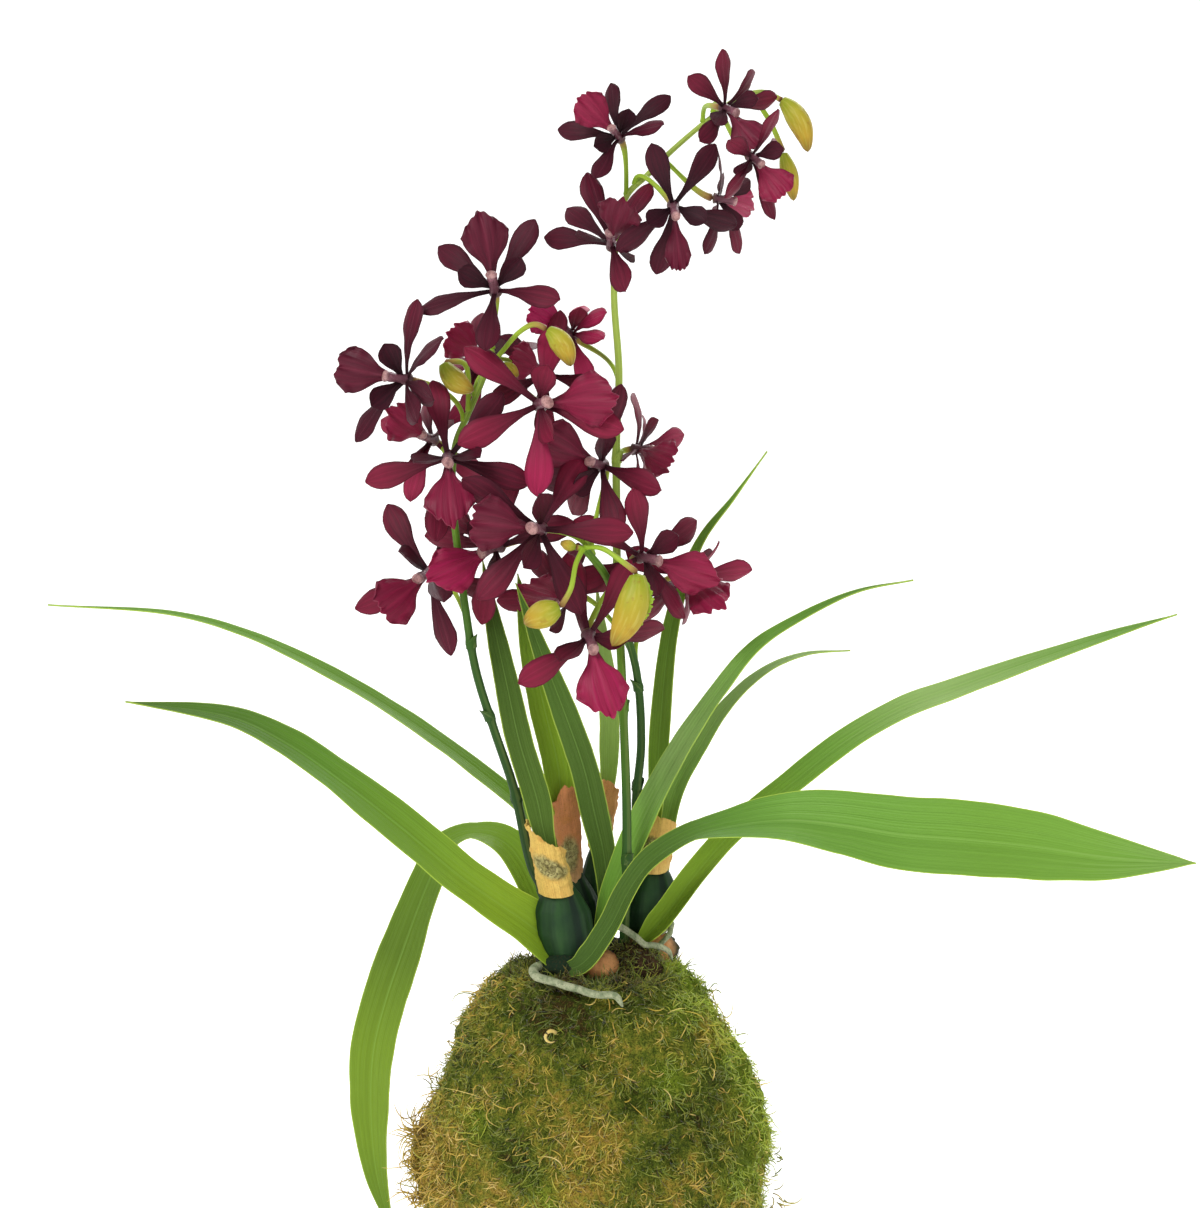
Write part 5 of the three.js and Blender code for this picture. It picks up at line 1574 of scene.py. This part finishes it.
def spikes(name, spines, thickness, tints, lime_and_backlight=1.0):
    """One mesh of three-sided spikes along the spines. `lime_and_backlight` is how much lime, from
    young moss and painted backlight, they take up.
    """
    count, stops = spines.shape[:2]
    ways = unit(np.gradient(spines, axis=1))
    first = unit(np.cross(ways, dice.normal(size=(count, 1, 3))))
    second = np.cross(ways, first)
    taper = np.interp(np.linspace(0, 1, stops), [0, 0.3, 0.7, 1], [0.9, 1, 0.8, 0.15])
    taper = taper[None, :, None] * thickness / 2
    turns = [0, 2 * math.pi / 3, 4 * math.pi / 3]
    rings = [spines + (first * math.cos(a) + second * math.sin(a)) * taper for a in turns]
    points = np.stack(rings, axis=2)
    points[..., 2] = np.maximum(points[..., 2], 0.15)  # none goes through the table
    offset = (np.arange(count) * stops * 3)[:, None, None]
    rows = (np.arange(stops - 1) * 3)[None, :, None]
    side = np.arange(3)[None, None, :]
    a = offset + rows + side
    b = offset + rows + (side + 1) % 3
    quads = np.stack([a, b, b + 3, a + 3], axis=-1).reshape(-1, 4)
    ends = (np.arange(count) * stops * 3)[:, None]
    caps = np.concatenate([ends + [[0, 2, 1]], ends + (stops - 1) * 3 + [[0, 1, 2]]])
    made = bpy.data.meshes.new(name)
    made.vertices.add(points.size // 3)
    made.vertices.foreach_set("co", (points * MM).ravel())
    made.loops.add(quads.size + caps.size)
    made.loops.foreach_set("vertex_index", np.concatenate([quads.ravel(), caps.ravel()]))
    made.polygons.add(len(quads) + len(caps))
    starts = np.concatenate([np.arange(len(quads)) * 4, quads.size + np.arange(len(caps)) * 3])
    made.polygons.foreach_set("loop_start", starts)
    made.update(calc_edges=True)
    made.validate()
    piece = bpy.data.objects.new(name, made)
    bpy.context.scene.collection.objects.link(piece)
    number(piece, "tint", np.repeat(np.clip(tints, 0, 1), stops * 3))
    number(piece, "lime_and_backlight", np.repeat(moss_lime_and_backlight(spines[:, 0]) * lime_and_backlight, stops * 3))
    number(piece, "along", np.tile(np.repeat(np.linspace(0, 1, stops), 3), count))
    made.polygons.foreach_set("use_smooth", np.ones(len(made.polygons), bool))
    dressed(piece, "moss", "moss_coat", moss_fibre)
    print(name, len(made.polygons), "faces")


# %% Grow the strands
coat = ground(felt, lambda radius, y, z, up: (radius > felt_radius(z) - 6) & (z > 1.5))
# Name, length, how far they stand up, thickness, steps, curl and spread of colour.
KINDS = [("short_a", 4.2, 0.7, 0.5, 3, 1.2, 0.09), ("short_b", 5.0, 0.55, 0.46, 3, 1.4, 0.09),
         ("lying", 6.5, 0.3, 0.5, 4, 1.5, 0.1), ("soft", 4.4, 1.0, 0.36, 3, 1.2, 0.08),
         ("curly", 6.6, 0.6, 0.44, 4, 2.4, 0.12), ("fine", 4.0, 1.1, 0.3, 3, 1.4, 0.1)]
for name, length, stand, thickness, steps, curl, colours in KINDS:
    triangles = 6 * steps + 2  # in one strand
    spines, tints = grow(coat, BUDGET // triangles, length, stand, steps, curl=curl)
    tints = tints + dice.normal(0, colours, len(tints))
    dry = dice.random(len(tints))
    tints = np.where(dry < 0.05, dice.uniform(0.7, 1, len(tints)), tints)
    tints = np.where(dry > 0.94, dice.uniform(0, 0.06, len(tints)), tints)
    spikes("moss_" + name, spines, thickness, tints)

# Longer golden curls lie on the fuzz, most of them where the moss is golden.
spines, tints = grow(coat, BUDGET // 30, 8, 0.9, 7, spread=2.6, curl=3.0)
keep = (tints > 0.62) | (dice.random(len(tints)) < 0.14)
spikes("moss_curls", spines[keep], 0.6, 0.82 + dice.normal(0, 0.12, keep.sum()), 0.3)

# Loose ends stick out past the sides: where each bunch starts, how it heads, its reach, count and
# tint.
LOOSE = [((-68, -10, 80), (-1, -0.1, 0.2), 15, 60, 0.82),
         ((-71, -10, 66), (-1, -0.3, -0.1), 9, 46, 0.8),
         ((-70, -14, 54), (-1, -0.2, 0.3), 11, 40, 0.86),
         ((-58, -30, 74), (-0.8, -0.6, 0.3), 12, 50, 0.84),
         ((-52, -38, 64), (-0.3, -0.9, 0.1), 11, 50, 0.84),
         ((-12, -66, 84), (0, -0.7, 0.6), 10, 36, 0.84), ((-64, -5, 97), (-1, 0, 0.3), 11, 10, 0.7),
         ((-54, -5, 113), (-0.8, 0, 0.6), 6, 12, 0.8), ((-40, -5, 137), (-0.6, 0, 0.8), 5, 8, 0.74),
         ((46, -5, 136), (0.5, 0, 0.8), 5, 10, 0.4), ((53, -5, 120), (0.9, 0, 0.2), 5, 8, 0.7),
         ((73, -5, 64), (1, 0, 0.2), 7, 8, 0.5), ((73, -8, 50), (0.9, -0.2, -0.5), 8, 10, 0.8)]
spines, tints = [], []
for start, heading, reach, count, tint in LOOSE:
    heading = unit(np.array(heading, float)[None, :] + dice.normal(0, 0.28, (count, 3)))
    starts = np.array(start, float) + dice.normal(0, 2.2, (count, 3))
    outward = unit(np.cross(heading, dice.normal(size=(count, 3))))
    reaches = reach * dice.uniform(0.5, 1.3, (count, 1))
    spines.append(bend(starts, outward, heading, reaches, 8, 3.4))
    tints.append(tint + dice.normal(0, 0.1, count))
spikes("moss_loose", np.concatenate(spines), 0.6, np.concatenate(tints), 0.2)

# A chip of bark, curled into a ring, lies on the front.
turns = np.linspace(0.4, 5.4, 14)
ring = np.stack([-16.7 + 2.2 * np.cos(turns), -53.5 + 0.5 * np.sin(turns) - 0.4 * turns,
                 131 + 2.0 * np.sin(turns)], axis=1)[None]
spikes("moss_chip", ring, 1.7, np.array([0.98]), 0)

# Dark fuzz covers the soil in the mouth, and longer fuzz stands round its rim.
mouth = ground(soil, lambda radius, y, z, up: (radius < 31) & (z > 145) & (y < 8) & (up > -0.2))
spines, tints = grow(mouth, BUDGET // 21, 3.8, 0.8, 3, spread=1.1, curl=1.5)
shades = dice.random(len(tints))
dark, light = dice.uniform(0, 0.1, len(tints)), dice.uniform(0.1, 0.5, len(tints))
tints = np.where(shades < 0.55, dark, light)
spikes("moss_mouth", spines, 0.42, tints)
rim = ground(felt, lambda radius, y, z, up: (radius > 25) & (radius < 35) & (z > 141) & (y < 12))
spines, tints = grow(rim, BUDGET // 60, 5.5, 2.2, 4, spread=1.2)
spikes("moss_rim", spines, 0.44, tints - 0.12)

# %% [markdown]
# ## Last look
# The visual stays in the plain model's box, apart from the fuzz of the moss.

# %% Measure and close
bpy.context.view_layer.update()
meshes = [piece.data for piece in bpy.context.scene.objects if piece.type == "MESH"]
print("faces in all:", sum(len(mesh.polygons) for mesh in meshes))
